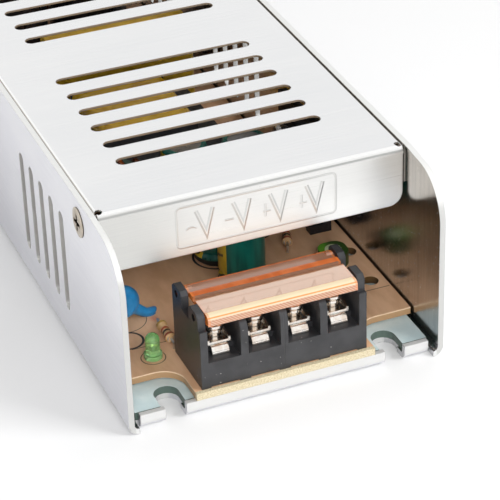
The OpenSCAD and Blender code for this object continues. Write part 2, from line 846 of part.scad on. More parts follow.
module output_terminal_block() { color([0.16, 0.16, 0.17]) at_output() terminal_block(output_poles); }
module output_contacts() { color([0.85, 0.84, 0.82]) at_output() contacts(output_poles); }
module output_clamp(number) {
    color([0.80, 0.79, 0.77]) if (number <= output_poles) at_output() clamp(output_poles, number - 1);
}
module output_screw(number) {
    color([0.78, 0.77, 0.75])
        if (number <= output_poles) at_output() terminal_screw(output_poles, number - 1);
}
module output_flip_cover() { color([0.93, 0.48, 0.20, 0.6]) at_output() flip_cover(output_poles); }
module input_terminal_block() { color([0.16, 0.16, 0.17]) at_input() terminal_block(input_poles); }
module input_contacts() { color([0.85, 0.84, 0.82]) at_input() contacts(input_poles); }
module input_clamp(number) {
    color([0.80, 0.79, 0.77]) if (number <= input_poles) at_input() clamp(input_poles, number - 1);
}
module input_screw(number) {
    color([0.78, 0.77, 0.75])
        if (number <= input_poles) at_input() terminal_screw(input_poles, number - 1);
}
module input_flip_cover() { color([0.93, 0.48, 0.20, 0.6]) at_input() flip_cover(input_poles); }

// parts on the board

// places of the board parts
lamp_place = from_output(from_left(lamp_from_left), lamp_from_output);
disc_place = from_output(from_left(disc_from_left), disc_from_output);
adjuster_place = from_output(from_right(adjuster_from_right), adjuster_from_output);
first_axial_place = from_output(first_axial_x, first_axial_from_output);
second_axial_place = from_output(second_axial_x, second_axial_from_output);
third_axial_place = from_input(third_axial_x, third_axial_from_input);
output_can_places = [from_output(front_can_x, front_can_from_output),
    from_output(middle_can_x, middle_can_from_output),
    from_output(back_can_x, back_can_from_output),
    from_output(right_can_x, right_can_from_output)];
output_choke_place = from_output(output_choke_x, output_choke_from_output);
output_spreader_place = from_output(spreader_x, output_spreader_from_output);
transformer_place = from_output(transformer_x, transformer_from_output);
box_place = from_output(box_x, box_from_output);
driver_place = from_input(driver_x, driver_from_input);
chip_place = from_input(from_right(chip_from_right), chip_from_input);
primary_spreader_place = from_input(-spreader_x, primary_spreader_from_input);
bulk_places = [from_input(first_bulk_x, first_bulk_from_input),
    from_input(second_bulk_x, second_bulk_from_input)];
bridge_place = from_input(bridge_x, bridge_from_input);
thermistor_place = from_input(thermistor_x, thermistor_from_input);
line_choke_place = from_input(line_choke_x, line_choke_from_input);
varistor_place = from_input(varistor_x, varistor_from_input);
fuse_place = from_input(from_left(fuse_from_left), fuse_from_input);

// can in a shrunk sleeve: bevelled foot, crimped groove over the seal, rounded top with a sunk bare disc
module can(diameter, height) {
    radius = diameter / 2;
    edge = 0.8;
    groove = 0.5;
    groove_level = 3;
    sink = 0.3;
    disc = radius - 1.2;
    rotate_extrude() {
        difference() {
            polygon([[0, 0], [radius - edge, 0], [radius, edge], [radius, groove_level - edge],
                [radius - groove, groove_level], [radius, groove_level + edge], [radius, height - edge],
                [radius - edge, height - edge], [radius - edge, height], [0, height]]);
            translate([0, height - sink]) square([disc, edge]);
        }
        intersection() {
            translate([radius - edge, height - edge]) circle(r = edge);
            translate([radius - edge, height - edge]) square(edge);
        }
    }
}

// half of a disc's section with a fully rounded rim, for turning about the y axis
module disc_section(diameter, thick) {
    flat = (diameter - thick) / 2;
    translate([0, -thick / 2]) square([flat, thick]);
    intersection() {
        translate([flat, 0]) circle(d = thick);
        translate([0, -thick]) square([diameter, 2 * thick]);
    }
}

// coated disc on two straight legs, standing across x
module coated_disc(diameter, thick) {
    lift = 3;
    leg = 1;
    leg_spread = 7.5;
    middle = lift + diameter / 2;
    translate([0, 0, middle]) rotate([90, 0, 0]) rotate_extrude() disc_section(diameter, thick);
    for (side = [-1, 1]) translate([side * leg_spread / 2, 0, 0]) cylinder(d = leg, h = middle);
}

// lamp: a domed cylinder with a wider rim, on two square leads
module power_lamp() {
    rim_height = 1;
    lead_spread = 2.54;
    dome_level = lamp_lift + lamp_height - lamp_size / 2;
    rim_top = lamp_lift + rim_height;
    color([0.30, 0.72, 0.32]) translate(lamp_place) {
        rotate_extrude() {
            polygon([[0, lamp_lift], [lamp_rim / 2, lamp_lift], [lamp_rim / 2, rim_top],
                [lamp_size / 2, rim_top], [lamp_size / 2, dome_level], [0, dome_level]]);
            translate([0, dome_level]) intersection() {
                circle(d = lamp_size);
                square(lamp_size);
            }
        }
        for (side = [-1, 1]) translate([(side * lead_spread - lead_size) / 2, -lead_size / 2, 0])
            cube([lead_size, lead_size, lamp_lift + joined]);
    }
}

// the disc stands on two coated legs that spread towards the board
module disc_capacitor() {
    spread = 52;
    reach = 2 * disc_size;
    color([0.10, 0.42, 0.75]) translate(disc_place) difference() {
        translate([0, 0, disc_level]) rotate([90, 0, 0]) {
            rotate_extrude() disc_section(disc_size, disc_thick);
            for (side = [-1, 1]) rotate([0, 0, side * spread]) rotate([90, 0, 0])
                cylinder(d = disc_leg, h = reach);
        }
        translate([-reach, -reach, -2 * reach]) cube([2 * reach, 2 * reach, 2 * reach]);
    }
}

module output_capacitors() {
    color([0.05, 0.32, 0.28]) for (place = output_can_places) translate(place)
        can(output_can, output_can_height);
}

rotor_sink = 1;
rotor_rise = 0.1;

module adjuster_body() {
    corner = 2.4;
    color([0.22, 0.55, 0.20]) translate(adjuster_place) difference() {
        linear_extrude(adjuster_height) rounded_outline(adjuster_size, adjuster_size, corner);
        translate([0, 0, adjuster_height - rotor_sink])
            cylinder(d = rotor_size + 2 * running, h = rotor_sink + cut);
    }
}

module adjuster_rotor() {
    slot = 0.6;
    slot_depth = 0.7;
    color([0.85, 0.84, 0.80]) translate(adjuster_place)
        translate([0, 0, adjuster_height - rotor_sink + seat_gap]) difference() {
            cylinder(d = rotor_size, h = rotor_sink + rotor_rise);
            translate([-rotor_size, -slot / 2, rotor_sink + rotor_rise - slot_depth])
                cube([2 * rotor_size, slot, slot_depth + cut]);
        }
}

// axial resistor along x: a body thicker at its ends, on two bent leads
module axial_part() {
    radius = axial_size / 2;
    neck = radius - 0.25;
    edge = 0.3;
    lift = 0.3;
    level = radius + lift;
    span = axial_length + 4;
    translate([-axial_length / 2, 0, level]) rotate([0, 90, 0]) rotate_extrude()
        polygon([[0, 0], [radius - edge, 0], [radius, edge], [radius, axial_length * 0.2],
            [neck, axial_length * 0.3], [neck, axial_length * 0.7], [radius, axial_length * 0.8],
            [radius, axial_length - edge], [radius - edge, axial_length], [0, axial_length]]);
    translate([-span / 2, 0, level]) rotate([0, 90, 0]) cylinder(d = lead_size, h = span);
    for (side = [-1, 1]) translate([side * (span - lead_size) / 2, 0, 0]) cylinder(d = lead_size, h = level);
}

module axial_resistors() {
    color([0.78, 0.68, 0.52]) {
        translate(first_axial_place) rotate([0, 0, 90]) axial_part();
        translate(second_axial_place) rotate([0, 0, 70]) axial_part();
        translate(third_axial_place) axial_part();
    }
}

// chokes: a ring wound with round turns of thick wire

choke_slack = 0.1;
choke_lift = choke_wire + choke_slack;

module choke_ring() {
    linear_extrude(ring_height) difference() {
        circle(d = ring_outer);
        circle(d = ring_bore);
    }
}

// one turn of wire: a rounded frame round the ring's section, standing on edge across the ring
module choke_turn() {
    section = (ring_outer - ring_bore) / 2 + 2 * choke_slack;
    height = ring_height + 2 * choke_slack;
    translate([(ring_outer + ring_bore) / 4, 0, ring_height / 2]) rotate([90, 0, 0])
        linear_extrude(choke_wire, center = true) difference() {
            rounded_outline(section + 2 * choke_wire, height + 2 * choke_wire, choke_wire);
            square([section, height], center = true);
        }
}

module at_output_choke() {
    translate(output_choke_place) translate([0, ring_height / 2, ring_outer / 2 + choke_lift])
        rotate([90, 0, 0]) children();
}

module at_line_choke() { translate(line_choke_place) translate([0, 0, choke_lift]) children(); }

module output_choke_ring() { color([0.22, 0.30, 0.22]) at_output_choke() choke_ring(); }
module output_choke_winding() {
    color([0.62, 0.34, 0.16]) at_output_choke()
        for (turn = [0 : choke_turns - 1]) rotate([0, 0, turn * 360 / choke_turns]) choke_turn();
}
module line_choke_ring() { color([0.30, 0.42, 0.32]) at_line_choke() choke_ring(); }
module line_choke_winding() {
    half_turns = floor(choke_turns / 2) - 1;
    color([0.66, 0.36, 0.17]) at_line_choke() for (half = [0, 180]) for (turn = [0 : half_turns - 1])
        rotate([0, 0, half + (turn - (half_turns - 1) / 2) * 360 / choke_turns]) choke_turn();
}

// transformer: a flat core whose middle leg passes through the bobbin, with the taped winding round it

bobbin_slack = 0.2;
window_length = core_length - 2 * core_leg;
window_width = (core_width - 2 * core_leg - middle_leg) / 2;
window_play = 0.5;
winding_reach = window_width - window_play;
core_level = winding_reach + core_thick / 2 + bobbin_wall;

module at_transformer() { translate(transformer_place) translate([0, 0, core_level]) children(); }

module transformer_core() {
    color([0.20, 0.20, 0.22]) at_transformer() linear_extrude(core_thick, center = true) difference() {
        square([core_width, core_length], center = true);
        for (side = [-1, 1]) translate([side * (middle_leg + window_width) / 2, 0])
            square([window_width, window_length], center = true);
    }
}

// outlines round the middle leg, drawn in x and z and extruded along y
module leg_outline(reach) {
    square([middle_leg + 2 * reach, core_thick + 2 * reach], center = true);
}

module along_leg(length) {
    rotate([90, 0, 0]) linear_extrude(length, center = true) children();
}

module transformer_bobbin() {
    flange_y = window_length / 2 - bobbin_slack - bobbin_wall / 2;
    rail_low = flange_y - bobbin_wall / 2;
    flange_half = middle_leg / 2 + winding_reach;
    flange_top = core_thick / 2 + winding_reach;
    color([0.18, 0.17, 0.16]) at_transformer() {
        along_leg(window_length - 2 * bobbin_slack) difference() {
            leg_outline(bobbin_slack + bobbin_wall);
            leg_outline(bobbin_slack);
        }
        for (side = [-1, 1]) translate([0, side * flange_y, 0]) along_leg(bobbin_wall) difference() {
            union() {
                leg_outline(winding_reach);
                if (side == 1) translate([-flange_half, 0])
                    square([2 * flange_half, flange_top + bobbin_rise]);
            }
            leg_outline(bobbin_slack + bobbin_wall - joined);
        }
        for (side = [0, 1]) mirror([0, side, 0]) translate([-core_width / 2, rail_low, -core_level])
            cube([core_width, core_length / 2 - rail_low, core_level - core_thick / 2]);
    }
}

module transformer_winding() {
    corner = 2.5;
    color([0.86, 0.70, 0.16]) at_transformer()
        along_leg(window_length - 2 * bobbin_slack - 2 * bobbin_wall) difference() {
            rounded_outline(middle_leg + 2 * winding_reach, core_thick + 2 * winding_reach, corner);
            leg_outline(bobbin_slack + bobbin_wall);
        }
}

// heat spreaders stand beside the walls with the power parts screwed to their inner faces

device_hole_inset = 3;
device_hole_level = device_lift + device_height - device_hole_inset;

module at_devices() {
    for (side = [-1, 1]) translate([0, side * device_spread / 2, 0]) children();
}

module spreader() {
    foot_reach = 5;
    foot_length = 2.4;
    difference() {
        union() {
            translate([0, -spreader_length / 2, 0]) cube([spreader_thick, spreader_length, spreader_height]);
            for (low = [-spreader_length / 2, spreader_length / 2 - foot_length])
                translate([spreader_thick - foot_reach, low, 0])
                    cube([foot_reach, foot_length, spreader_thick]);
        }
        at_devices() translate([-cut, 0, device_hole_level]) rotate([0, 90, 0])
            cylinder(d = device_screw + 2 * running, h = spreader_thick + 2 * cut);
    }
}

module power_devices() {
    leg_pitch = 2.54;
    leg_width = 0.8;
    leg_thick = 0.6;
    leg_inset = 2;
    hole_play = 0.6;
    at_devices() {
        difference() {
            union() {
                translate([-device_tab, -device_width / 2, device_lift])
                    cube([device_tab, device_width, device_height]);
                translate([-device_thick, -device_width / 2, device_lift])
                    cube([device_thick - joined, device_width, device_body]);
            }
            translate([-device_thick - cut, 0, device_hole_level]) rotate([0, 90, 0])
                cylinder(d = device_screw + hole_play, h = device_thick + 2 * cut);
        }
        for (leg = [-1 : 1]) translate([-leg_inset - leg_thick, leg * leg_pitch - leg_width / 2, 0])
            cube([leg_thick, leg_width, device_lift + joined]);
    }
}

module device_screws() {
    head = 5.4;
    head_height = 2;
    nut_reach = 0.8;
    at_devices() translate([-device_tab, 0, device_hole_level]) rotate([0, -90, 0])
        pan_screw(head, head_height, device_screw, device_tab + spreader_thick + nut_reach);
}

module at_output_spreader() { translate(output_spreader_place) children(); }
module at_primary_spreader() { translate(primary_spreader_place) rotate([0, 0, 180]) children(); }

module output_spreader() { color([0.75, 0.75, 0.77]) at_output_spreader() spreader(); }
module output_rectifiers() { color([0.13, 0.13, 0.14]) at_output_spreader() power_devices(); }
module rectifier_screws() { color([0.75, 0.75, 0.77]) at_output_spreader() device_screws(); }
module primary_spreader() { color([0.75, 0.75, 0.77]) at_primary_spreader() spreader(); }
module power_transistors() { color([0.13, 0.13, 0.14]) at_primary_spreader() power_devices(); }
module transistor_screws() { color([0.75, 0.75, 0.77]) at_primary_spreader() device_screws(); }

module box_capacitor() {
    corner = 1;
    color([0.88, 0.72, 0.12]) translate(box_place) linear_extrude(box_height)
        rounded_outline(box_length, box_depth, corner);
}

// control chip along y: a moulded body with a notch at one end and a row of legs on each side
module control_chip() {
    lift = 0.5;
    leg_width = 0.8;
    leg_thick = 0.6;
    leg_rise = 2.2;
    notch = 2;
    notch_depth = 0.5;
    row = (chip_legs - 1) * chip_pitch;
    body_length = row + 2 * leg_width;
    color([0.12, 0.12, 0.13]) translate(chip_place) difference() {
        union() {
            translate([-chip_width / 2, -body_length / 2, lift]) cube([chip_width, body_length, chip_thick]);
            for (side = [0, 1]) mirror([side, 0, 0]) for (leg = [0 : chip_legs - 1])
                translate([chip_width / 2 - joined, leg * chip_pitch - row / 2 - leg_width / 2, 0])
                    cube([leg_thick, leg_width, leg_rise]);
        }
        translate([0, -body_length / 2, lift + chip_thick - notch_depth]) cylinder(d = notch, h = notch);
    }
}

// driver transformer: a small upright core with a taped winding through it
module driver_transformer() {
    leg = 2;
    corner = 1;
    color([0.86, 0.70, 0.16]) translate(driver_place) {
        translate([-driver_width / 2, -driver_core / 2, 0]) cube([driver_width, driver_core, driver_height]);
        translate([0, 0, leg]) linear_extrude(driver_height - 2 * leg)
            rounded_outline(driver_width - 2 * leg, driver_winding, corner);
    }
}

module bulk_capacitors() {
    color([0.10, 0.10, 0.12]) for (place = bulk_places) translate(place) can(bulk_can, bulk_can_height);
}

// bridge rectifier: a flat upright body with a screw hole, on four legs
module bridge_rectifier() {
    lift = 3;
    corner = 1.5;
    hole = 3.4;
    leg_pitch = 5.1;
    leg_width = 1.2;
    leg_thick = 0.8;
    color([0.12, 0.12, 0.13]) translate(bridge_place) {
        translate([0, 0, lift + bridge_height / 2]) rotate([90, 0, 0])
            linear_extrude(bridge_thick, center = true) difference() {
                rounded_outline(bridge_width, bridge_height, corner);
                circle(d = hole);
            }
        for (leg = [-1.5 : 1.5]) translate([leg * leg_pitch - leg_width / 2, -leg_thick / 2, 0])
            cube([leg_width, leg_thick, lift + joined]);
    }
}

module inrush_thermistor() {
    color([0.15, 0.24, 0.16]) translate(thermistor_place) coated_disc(thermistor_size, thermistor_thick);
}
module varistor() {
    color([0.12, 0.36, 0.66]) translate(varistor_place) coated_disc(varistor_size, varistor_thick);
}

// fuse along y: a tube between two caps, each in a clip
module fuse() {
    lift = 1.2;
    cap_wall = 0.3;
    clip = 3;
    radius = fuse_size / 2;
    level = radius + lift;
    color([0.86, 0.85, 0.82]) translate(fuse_place) {
        translate([0, fuse_length / 2, level]) rotate([90, 0, 0]) rotate_extrude()
            polygon([[0, 0], [radius, 0], [radius, fuse_cap], [radius - cap_wall, fuse_cap],
                [radius - cap_wall, fuse_length - fuse_cap], [radius, fuse_length - fuse_cap],
                [radius, fuse_length], [0, fuse_length]]);
        for (side = [-1, 1]) translate([-radius, (side * (fuse_length - fuse_cap) - clip) / 2, 0])
            cube([fuse_size, clip, level]);
    }
}

chassis();
top_cover();
cover_screws();
insulation_pad();
board_spacers();
circuit_board();
board_screws();
output_terminal_block();
output_contacts();
output_clamp(1);  // output_clamp_1
output_clamp(2);  // output_clamp_2
output_clamp(3);  // output_clamp_3
output_clamp(4);  // output_clamp_4
output_screw(1);  // output_screw_1
output_screw(2);  // output_screw_2
output_screw(3);  // output_screw_3
output_screw(4);  // output_screw_4
output_flip_cover();
input_terminal_block();
input_contacts();
input_clamp(1);  // input_clamp_1
input_clamp(2);  // input_clamp_2
input_clamp(3);  // input_clamp_3
input_screw(1);  // input_screw_1
input_screw(2);  // input_screw_2
input_screw(3);  // input_screw_3
input_flip_cover();
power_lamp();
disc_capacitor();
output_capacitors();
adjuster_body();
adjuster_rotor();
axial_resistors();
output_choke_ring();
output_choke_winding();
transformer_core();
transformer_bobbin();
transformer_winding();
output_spreader();
output_rectifiers();
rectifier_screws();
primary_spreader();
power_transistors();
transistor_screws();
box_capacitor();
control_chip();
driver_transformer();
bulk_capacitors();
bridge_rectifier();
line_choke_ring();
line_choke_winding();
inrush_thermistor();
varistor();
fuse();
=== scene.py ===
import math

import bpy
import numpy as np
from mathutils import Matrix, Vector


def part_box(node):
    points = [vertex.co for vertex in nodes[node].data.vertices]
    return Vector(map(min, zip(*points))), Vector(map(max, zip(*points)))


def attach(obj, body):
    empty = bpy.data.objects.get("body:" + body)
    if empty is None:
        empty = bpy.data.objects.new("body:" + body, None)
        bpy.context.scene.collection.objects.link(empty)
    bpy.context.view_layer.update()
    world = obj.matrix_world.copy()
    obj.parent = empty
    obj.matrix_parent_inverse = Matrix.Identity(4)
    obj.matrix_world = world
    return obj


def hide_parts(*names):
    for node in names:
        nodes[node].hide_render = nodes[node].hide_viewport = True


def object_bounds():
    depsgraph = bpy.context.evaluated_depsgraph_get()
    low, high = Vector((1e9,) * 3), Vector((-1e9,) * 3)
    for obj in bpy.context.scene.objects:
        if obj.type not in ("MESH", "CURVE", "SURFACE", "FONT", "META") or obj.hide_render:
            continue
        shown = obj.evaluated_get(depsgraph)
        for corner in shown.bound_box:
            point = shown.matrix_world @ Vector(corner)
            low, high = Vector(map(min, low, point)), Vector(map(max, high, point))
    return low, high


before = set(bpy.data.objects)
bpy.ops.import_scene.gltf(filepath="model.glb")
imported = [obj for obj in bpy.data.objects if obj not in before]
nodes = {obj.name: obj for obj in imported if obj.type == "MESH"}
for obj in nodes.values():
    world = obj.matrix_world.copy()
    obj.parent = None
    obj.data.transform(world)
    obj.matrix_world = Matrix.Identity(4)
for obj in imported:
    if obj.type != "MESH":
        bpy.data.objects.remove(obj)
solid_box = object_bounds()
scene = bpy.context.scene

# Camera
# A long lens stands before the output end, to its left and above it, and looks down along the case.
# The picture is square, so the sensor's width sets the view both ways.
MM = 0.001
camera_place = Vector((-137.22, -444.21, 253.48)) * MM
camera_turn = math.radians(21.4076)
camera_dip = math.radians(31.5037)
camera_roll = math.radians(-1.908)
camera_lens = 157.95

ahead = Vector((math.sin(camera_turn) * math.cos(camera_dip),
                math.cos(camera_turn) * math.cos(camera_dip),
                -math.sin(camera_dip)))
level = Vector((math.cos(camera_turn), -math.sin(camera_turn), 0))
camera_right = level * math.cos(camera_roll) + level.cross(ahead) * math.sin(camera_roll)
camera_up = camera_right.cross(ahead)
camera = bpy.data.objects.new("camera", bpy.data.cameras.new("camera"))
camera.data.lens = camera_lens
camera.matrix_world = Matrix.Translation(camera_place) @ Matrix(
    (camera_right, camera_up, -ahead)).transposed().to_4x4()
scene.collection.objects.link(camera)
scene.camera = camera
scene.view_settings.view_transform = "Standard"

# Studio
# The case lies on a wide white table under three soft lamps that metal doesn't mirror. Table and sky show
# white to the lens, to metal and to clear plastic, and light matt surfaces at a plain level.
# Low down on the camera's side the room is dimmer, and bright metal shows that as a grey band.
floor_reach = 3.0
floor_thick = 0.02
floor_gap = 0.05 * MM
floor_white = 0.78
floor_lift = 0.07
sky_light = 0.34
room_dim = 0.62
room_level = 0.02
room_half = 0.13
room_side = (0.3, 0.7)
lamp_aim = Vector((0, -0.06, 0.02))


class Wire:
    """A value in a shader tree. Python's operators on wires and numbers add Math nodes to the tree."""

    def __init__(self, tree, socket=None):
        self.tree = tree
        self.socket = socket

    def node(self, kind, settings=None, sockets=None, output=0):
        """Adds a node, sets it up, fills or joins its sockets, and gives back one of its outputs."""
        made = self.tree.nodes.new("ShaderNode" + kind)
        for name, value in (settings or {}).items():
            setattr(made, name, value)
        for name, value in (sockets or {}).items():
            if isinstance(value, Wire):
                self.tree.links.new(value.socket, made.inputs[name])
            else:
                made.inputs[name].default_value = value
        return Wire(self.tree, made.outputs[output] if made.outputs else None)

    def math(self, operation, *values):
        """Adds a Math node on these values."""
        return self.node("Math", {"operation": operation}, dict(enumerate(values)))

    @property
    def x(self):
        """The first number of a vector; y and z are the others."""
        return self.node("SeparateXYZ", sockets={0: self}, output="X")

    @property
    def y(self):
        return self.node("SeparateXYZ", sockets={0: self}, output="Y")

    @property
    def z(self):
        return self.node("SeparateXYZ", sockets={0: self}, output="Z")

    def __add__(self, other):
        return self.math("ADD", self, other)

    def __radd__(self, other):
        return self.math("ADD", other, self)

    def __sub__(self, other):
        return self.math("SUBTRACT", self, other)

    def __rsub__(self, other):
        return self.math("SUBTRACT", other, self)

    def __mul__(self, other):
        return self.math("MULTIPLY", self, other)

    def __rmul__(self, other):
        return self.math("MULTIPLY", other, self)

    def __neg__(self):
        return self.math("MULTIPLY", self, -1)

    def __abs__(self):
        return self.math("ABSOLUTE", self)

    def __or__(self, other):
        return self.math("MAXIMUM", self, other)

    def __and__(self, other):
        return self.math("MINIMUM", self, other)

    def rise(self, low, high):
        """A mask: 0 up to low, 1 from high, and a smooth step between them. It falls if low is above high."""
        return self.node("MapRange", {"interpolation_type": "SMOOTHSTEP"},
                         {"Value": self, "From Min": low, "From Max": high})

    def within(self, low, high, soft):
        """A mask: 1 between low and high, and 0 outside them, with soft steps."""
        return self.rise(low - soft, low + soft) & self.rise(high + soft, high - soft)

    def blend(self, low, high):
        """The colour low where this mask is 0, and high where it is 1."""
        return self.node("Mix", {"data_type": "RGBA"}, {0: self, 6: low, 7: high}, 2)


def any_of(masks):
    """A mask that is 1 where any one of the masks is."""
    whole, *others = masks
    for mask in others:
        whole = whole | mask
    return whole


def seen_directly(tree):
    """1 for rays from the lens, from shiny surfaces and through clear ones, and 0 for soft light."""
    return any_of([tree.node("LightPath", output=f"Is {kind} Ray")
                   for kind in ("Camera", "Glossy", "Transmission")])


def material(name, recipe):
    """A material whose surface is the shader that the recipe builds in an empty tree."""
    made = bpy.data.materials.new(name)
    made.use_nodes = True
    made.node_tree.nodes.clear()
    tree = Wire(made.node_tree)
    tree.node("OutputMaterial", sockets={"Surface": recipe(tree)})
    return made


def skin(name, points, closed=False):
    """A mesh over profiles carried along paths, from points[copy, step, corner].
    Each profile is a closed loop, anticlockwise seen from the path's far end. A closed path joins its last
    profile to its first, and an open one has a cap on each end."""
    index = np.arange(points[..., 0].size).reshape(points.shape[:3])
    stops = np.concatenate([index, index[:, :1]], 1) if closed else index
    here, there = stops[:, :-1], stops[:, 1:]
    sides = np.stack([here, np.roll(here, -1, 2), np.roll(there, -1, 2), there], -1)
    faces = sides.reshape(-1, 4).tolist()
    if not closed:
        faces += index[:, 0, ::-1].tolist() + index[:, -1].tolist()
    mesh = bpy.data.meshes.new(name)
    mesh.from_pydata(points.reshape(-1, 3).tolist(), [], faces)
    piece = bpy.data.objects.new(name, mesh)
    scene.collection.objects.link(piece)
    return piece


def white_table(tree):
    """Matt white paper, with a glow that only the lens, shiny surfaces and clear ones see."""
    seen = seen_directly(tree)
    paper = tree.node("BsdfDiffuse", sockets={"Color": (floor_white,) * 3 + (1,)})
    glow = tree.node("Emission", sockets={"Strength": seen * floor_lift})
    return tree.node("AddShader", sockets={0: paper, 1: glow})


floor_top = solid_box[0][2] - floor_gap
floor_profile = np.array([(-1, -1), (1, -1), (1, 0), (-1, 0)]) * (floor_reach, floor_thick)
floor_points = np.zeros((1, 2, 4, 3))
floor_points[..., 0] = floor_profile[:, 0]
floor_points[..., 1] = np.array([floor_reach, -floor_reach])[:, None]
floor_points[..., 2] = floor_profile[:, 1] + floor_top
floor = skin("floor", floor_points)
floor.data.materials.append(material("white_table", white_table))

scene.world = bpy.data.worlds.new("studio")
scene.world.use_nodes = True
scene.world.node_tree.nodes.clear()
sky = Wire(scene.world.node_tree)
sky_ray = sky.node("TexCoord", output="Generated")
dim_room = (-sky_ray.y).rise(*room_side) & abs(sky_ray.z - room_level).rise(room_half, room_half / 3)
sky_strength = seen_directly(sky) * (1 - sky_light - dim_room * room_dim) + sky_light
sky.node("OutputWorld", sockets={
    "Surface": sky.node("Background", sockets={"Color": (1, 1, 1, 1), "Strength": sky_strength})})


def softbox(name, place, size, power):
    """A square lamp of so many metres and watts that faces the case's output end. Metal doesn't mirror it."""
    lamp = bpy.data.objects.new(name, bpy.data.lights.new(name, "AREA"))
    lamp.data.size = size
    lamp.data.energy = power
    lamp.visible_glossy = False
    away = Vector(place) - lamp_aim
    lamp.matrix_world = Matrix.Translation(place) @ away.to_track_quat("Z", "Y").to_matrix().to_4x4()
    scene.collection.objects.link(lamp)


softbox("key_lamp", (0.60, -0.60, 0.75), 0.45, 6.5)
softbox("top_lamp", (0.30, 0.35, 1.05), 0.90, 3.6)
softbox("front_lamp", (-0.20, -1.00, 0.50), 0.60, 8.6)

# Chassis
# One aluminium sheet with its side walls and end lips folded up. The outside has the mill's fine rolling
# lines, the inside is smoother and mirrors the board, and the sheared and punched edges are bare.
case_low, case_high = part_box("chassis")
sheet_thick = 1.2
wall_from = case_high.x / MM - sheet_thick - 0.2
floor_limit = 3.0
outer_painted_shade = (2, 38)
inner_painted_shade = (24, 34)
rolling_depth = 0.008


def tone(red, green, blue):
    """A linear colour from the three display values, 0 to 255, that a picture of it would show."""
    shown = np.array((red, green, blue)) / 255
    linear = np.where(shown <= 0.04045, shown / 12.92, ((shown + 0.055) / 1.055) ** 2.4)
    return (*linear.tolist(), 1.0)


def surface_point(tree):
    """The point on the surface, in millimetres."""
    return tree.node("VectorMath", {"operation": "SCALE"},
                     {0: tree.node("TexCoord", output="Object"), "Scale": 1 / MM})


def facing(tree):
    """The way that the surface faces."""
    return tree.node("TexCoord", output="Normal")


def grain(place, spots, detail=2.0):
    """Soft random values about one half, with so many spots to a millimetre, on each axis or on all."""
    spread = place.node("VectorMath", {"operation": "MULTIPLY"},
                        {0: place, 1: np.broadcast_to(spots, 3).tolist()})
    return place.node("TexNoise", sockets={"Vector": spread, "Scale": 1.0, "Detail": detail})


def mottled(pattern, low, high):
    """Two colours, blended over the middle part of a random pattern's range."""
    return pattern.rise(0.3, 0.7).blend(low, high)


def relief(tree, height, depth, edge=0.0):
    """A normal tipped by a height pattern of so many millimetres, with edges rounded by a small radius."""
    sockets = {"Height": height, "Distance": depth * MM, "Strength": 1.0}
    if edge:
        sockets["Normal"] = tree.node("Bevel", {"samples": 4}, {"Radius": edge * MM})
    return tree.node("Bump", sockets=sockets)


def dress(finish, *names):
    """Puts a material on CAD nodes."""
    for name in names:
        nodes[name].data.materials.clear()
        nodes[name].data.materials.append(finish)


def folded_sheet(tree):
    """Outside faces have rolling lines and painted shade that makes them paler higher up, inside ones are
    streaked, dusty and painted darker and warmer higher up as painted shade, and what faces neither way is a
    bare sheared edge, painted darker on the walls' ends and lighter on their tops as painted shade and light."""
    place = surface_point(tree)
    face = facing(tree)
    x, z = place.x, place.z
    upward = face.z
    outward = face.x * tree.math("SIGN", x)
    outside = (outward | -upward).rise(0.3, 0.6)
    inside = (-outward | (upward & z.rise(floor_limit + 0.2, floor_limit - 0.2))).rise(0.3, 0.6)
    sheared = 1 - (inside | outside)
    lines = grain(place, (4, 0.05, 4), 3)
    streaks = grain(place, (0.05, 1.4, 0.05), 3)
    cloud = grain(place, (0.08, 0.05, 0.08))
    dust = grain(place, 2.6, 0).rise(0.80, 0.83) & inside
    rolled = lines * 0.5 + cloud * 0.5
    # Painted shade: the outside is painted darker low down, where it mirrors the shaded table, and paler
    # higher up.
    outer = z.rise(*outer_painted_shade).blend(mottled(rolled, tone(219, 219, 224), tone(229, 229, 233)),
                                       mottled(rolled, tone(243, 243, 248), tone(251, 251, 254)))
    rubbed = cloud * 0.4 + streaks * 0.6
    # Painted shade and painted reflection: the inside is painted warmer and darker high up, under the cover.
    inner = z.rise(*inner_painted_shade).blend(mottled(rubbed, tone(190, 191, 194), tone(212, 212, 214)),
                                       mottled(rubbed, tone(178, 173, 167), tone(198, 192, 185)))
    inner = dust.blend(inner, tone(236, 234, 230))
    wall = abs(x).rise(wall_from - 0.2, wall_from + 0.2)
    # Painted shade and light: the walls' end edges are painted darker and their top edges a little lighter.
    bare = (wall & abs(face.y).rise(0.6, 0.9)).blend(tone(222, 222, 221), tone(200, 200, 198))
    bare = (wall & upward.rise(0.3, 0.6)).blend(bare, tone(226, 226, 224))
    colour = inside.blend(outside.blend(bare, outer), inner)
    roughness = 0.36 + outside * 0.06 - inside * 0.16 + sheared * 0.1 + dust * 0.4 + (lines - 0.5) * 0.12
    return tree.node("BsdfPrincipled", sockets={
        "Base Color": colour, "Metallic": 1 - sheared * 0.5, "Roughness": roughness,
        "Normal": relief(tree, lines + cloud * 3, rolling_depth, 0.25)})


dress(material("folded_sheet", folded_sheet), "chassis")

# Insulation pad
# A pale blue-grey plastic sheet, cut with a knife to lie on the case floor under the board.
# Its cut edge is painted darker, as painted shade.


def knife_cut_sheet(tree):
    """Softly clouded faces, and a cut edge painted darker as painted shade where the surface stands upright.
    """
    cloud = grain(surface_point(tree), 0.25, 3)
    flat = abs(facing(tree).z).rise(0.4, 0.8)
    top = mottled(cloud, tone(192, 210, 212), tone(208, 222, 222))
    return tree.node("BsdfPrincipled", sockets={
        # Painted shade: the upright cut edge is painted a dark green-grey.
        "Base Color": flat.blend(tone(84, 102, 94), top), "Roughness": 0.34 + cloud * 0.2,
        "Normal": relief(tree, cloud, 0.05, 0.15)})


dress(material("knife_cut_sheet", knife_cut_sheet), "insulation_pad")

# Spacers and device screws
# Turned steel spacers hold the board off the pad, pan-head screws go down through it, and others hold the
# power devices. All are zinc plated, bright with a faint blue, and carry turning and handling marks.


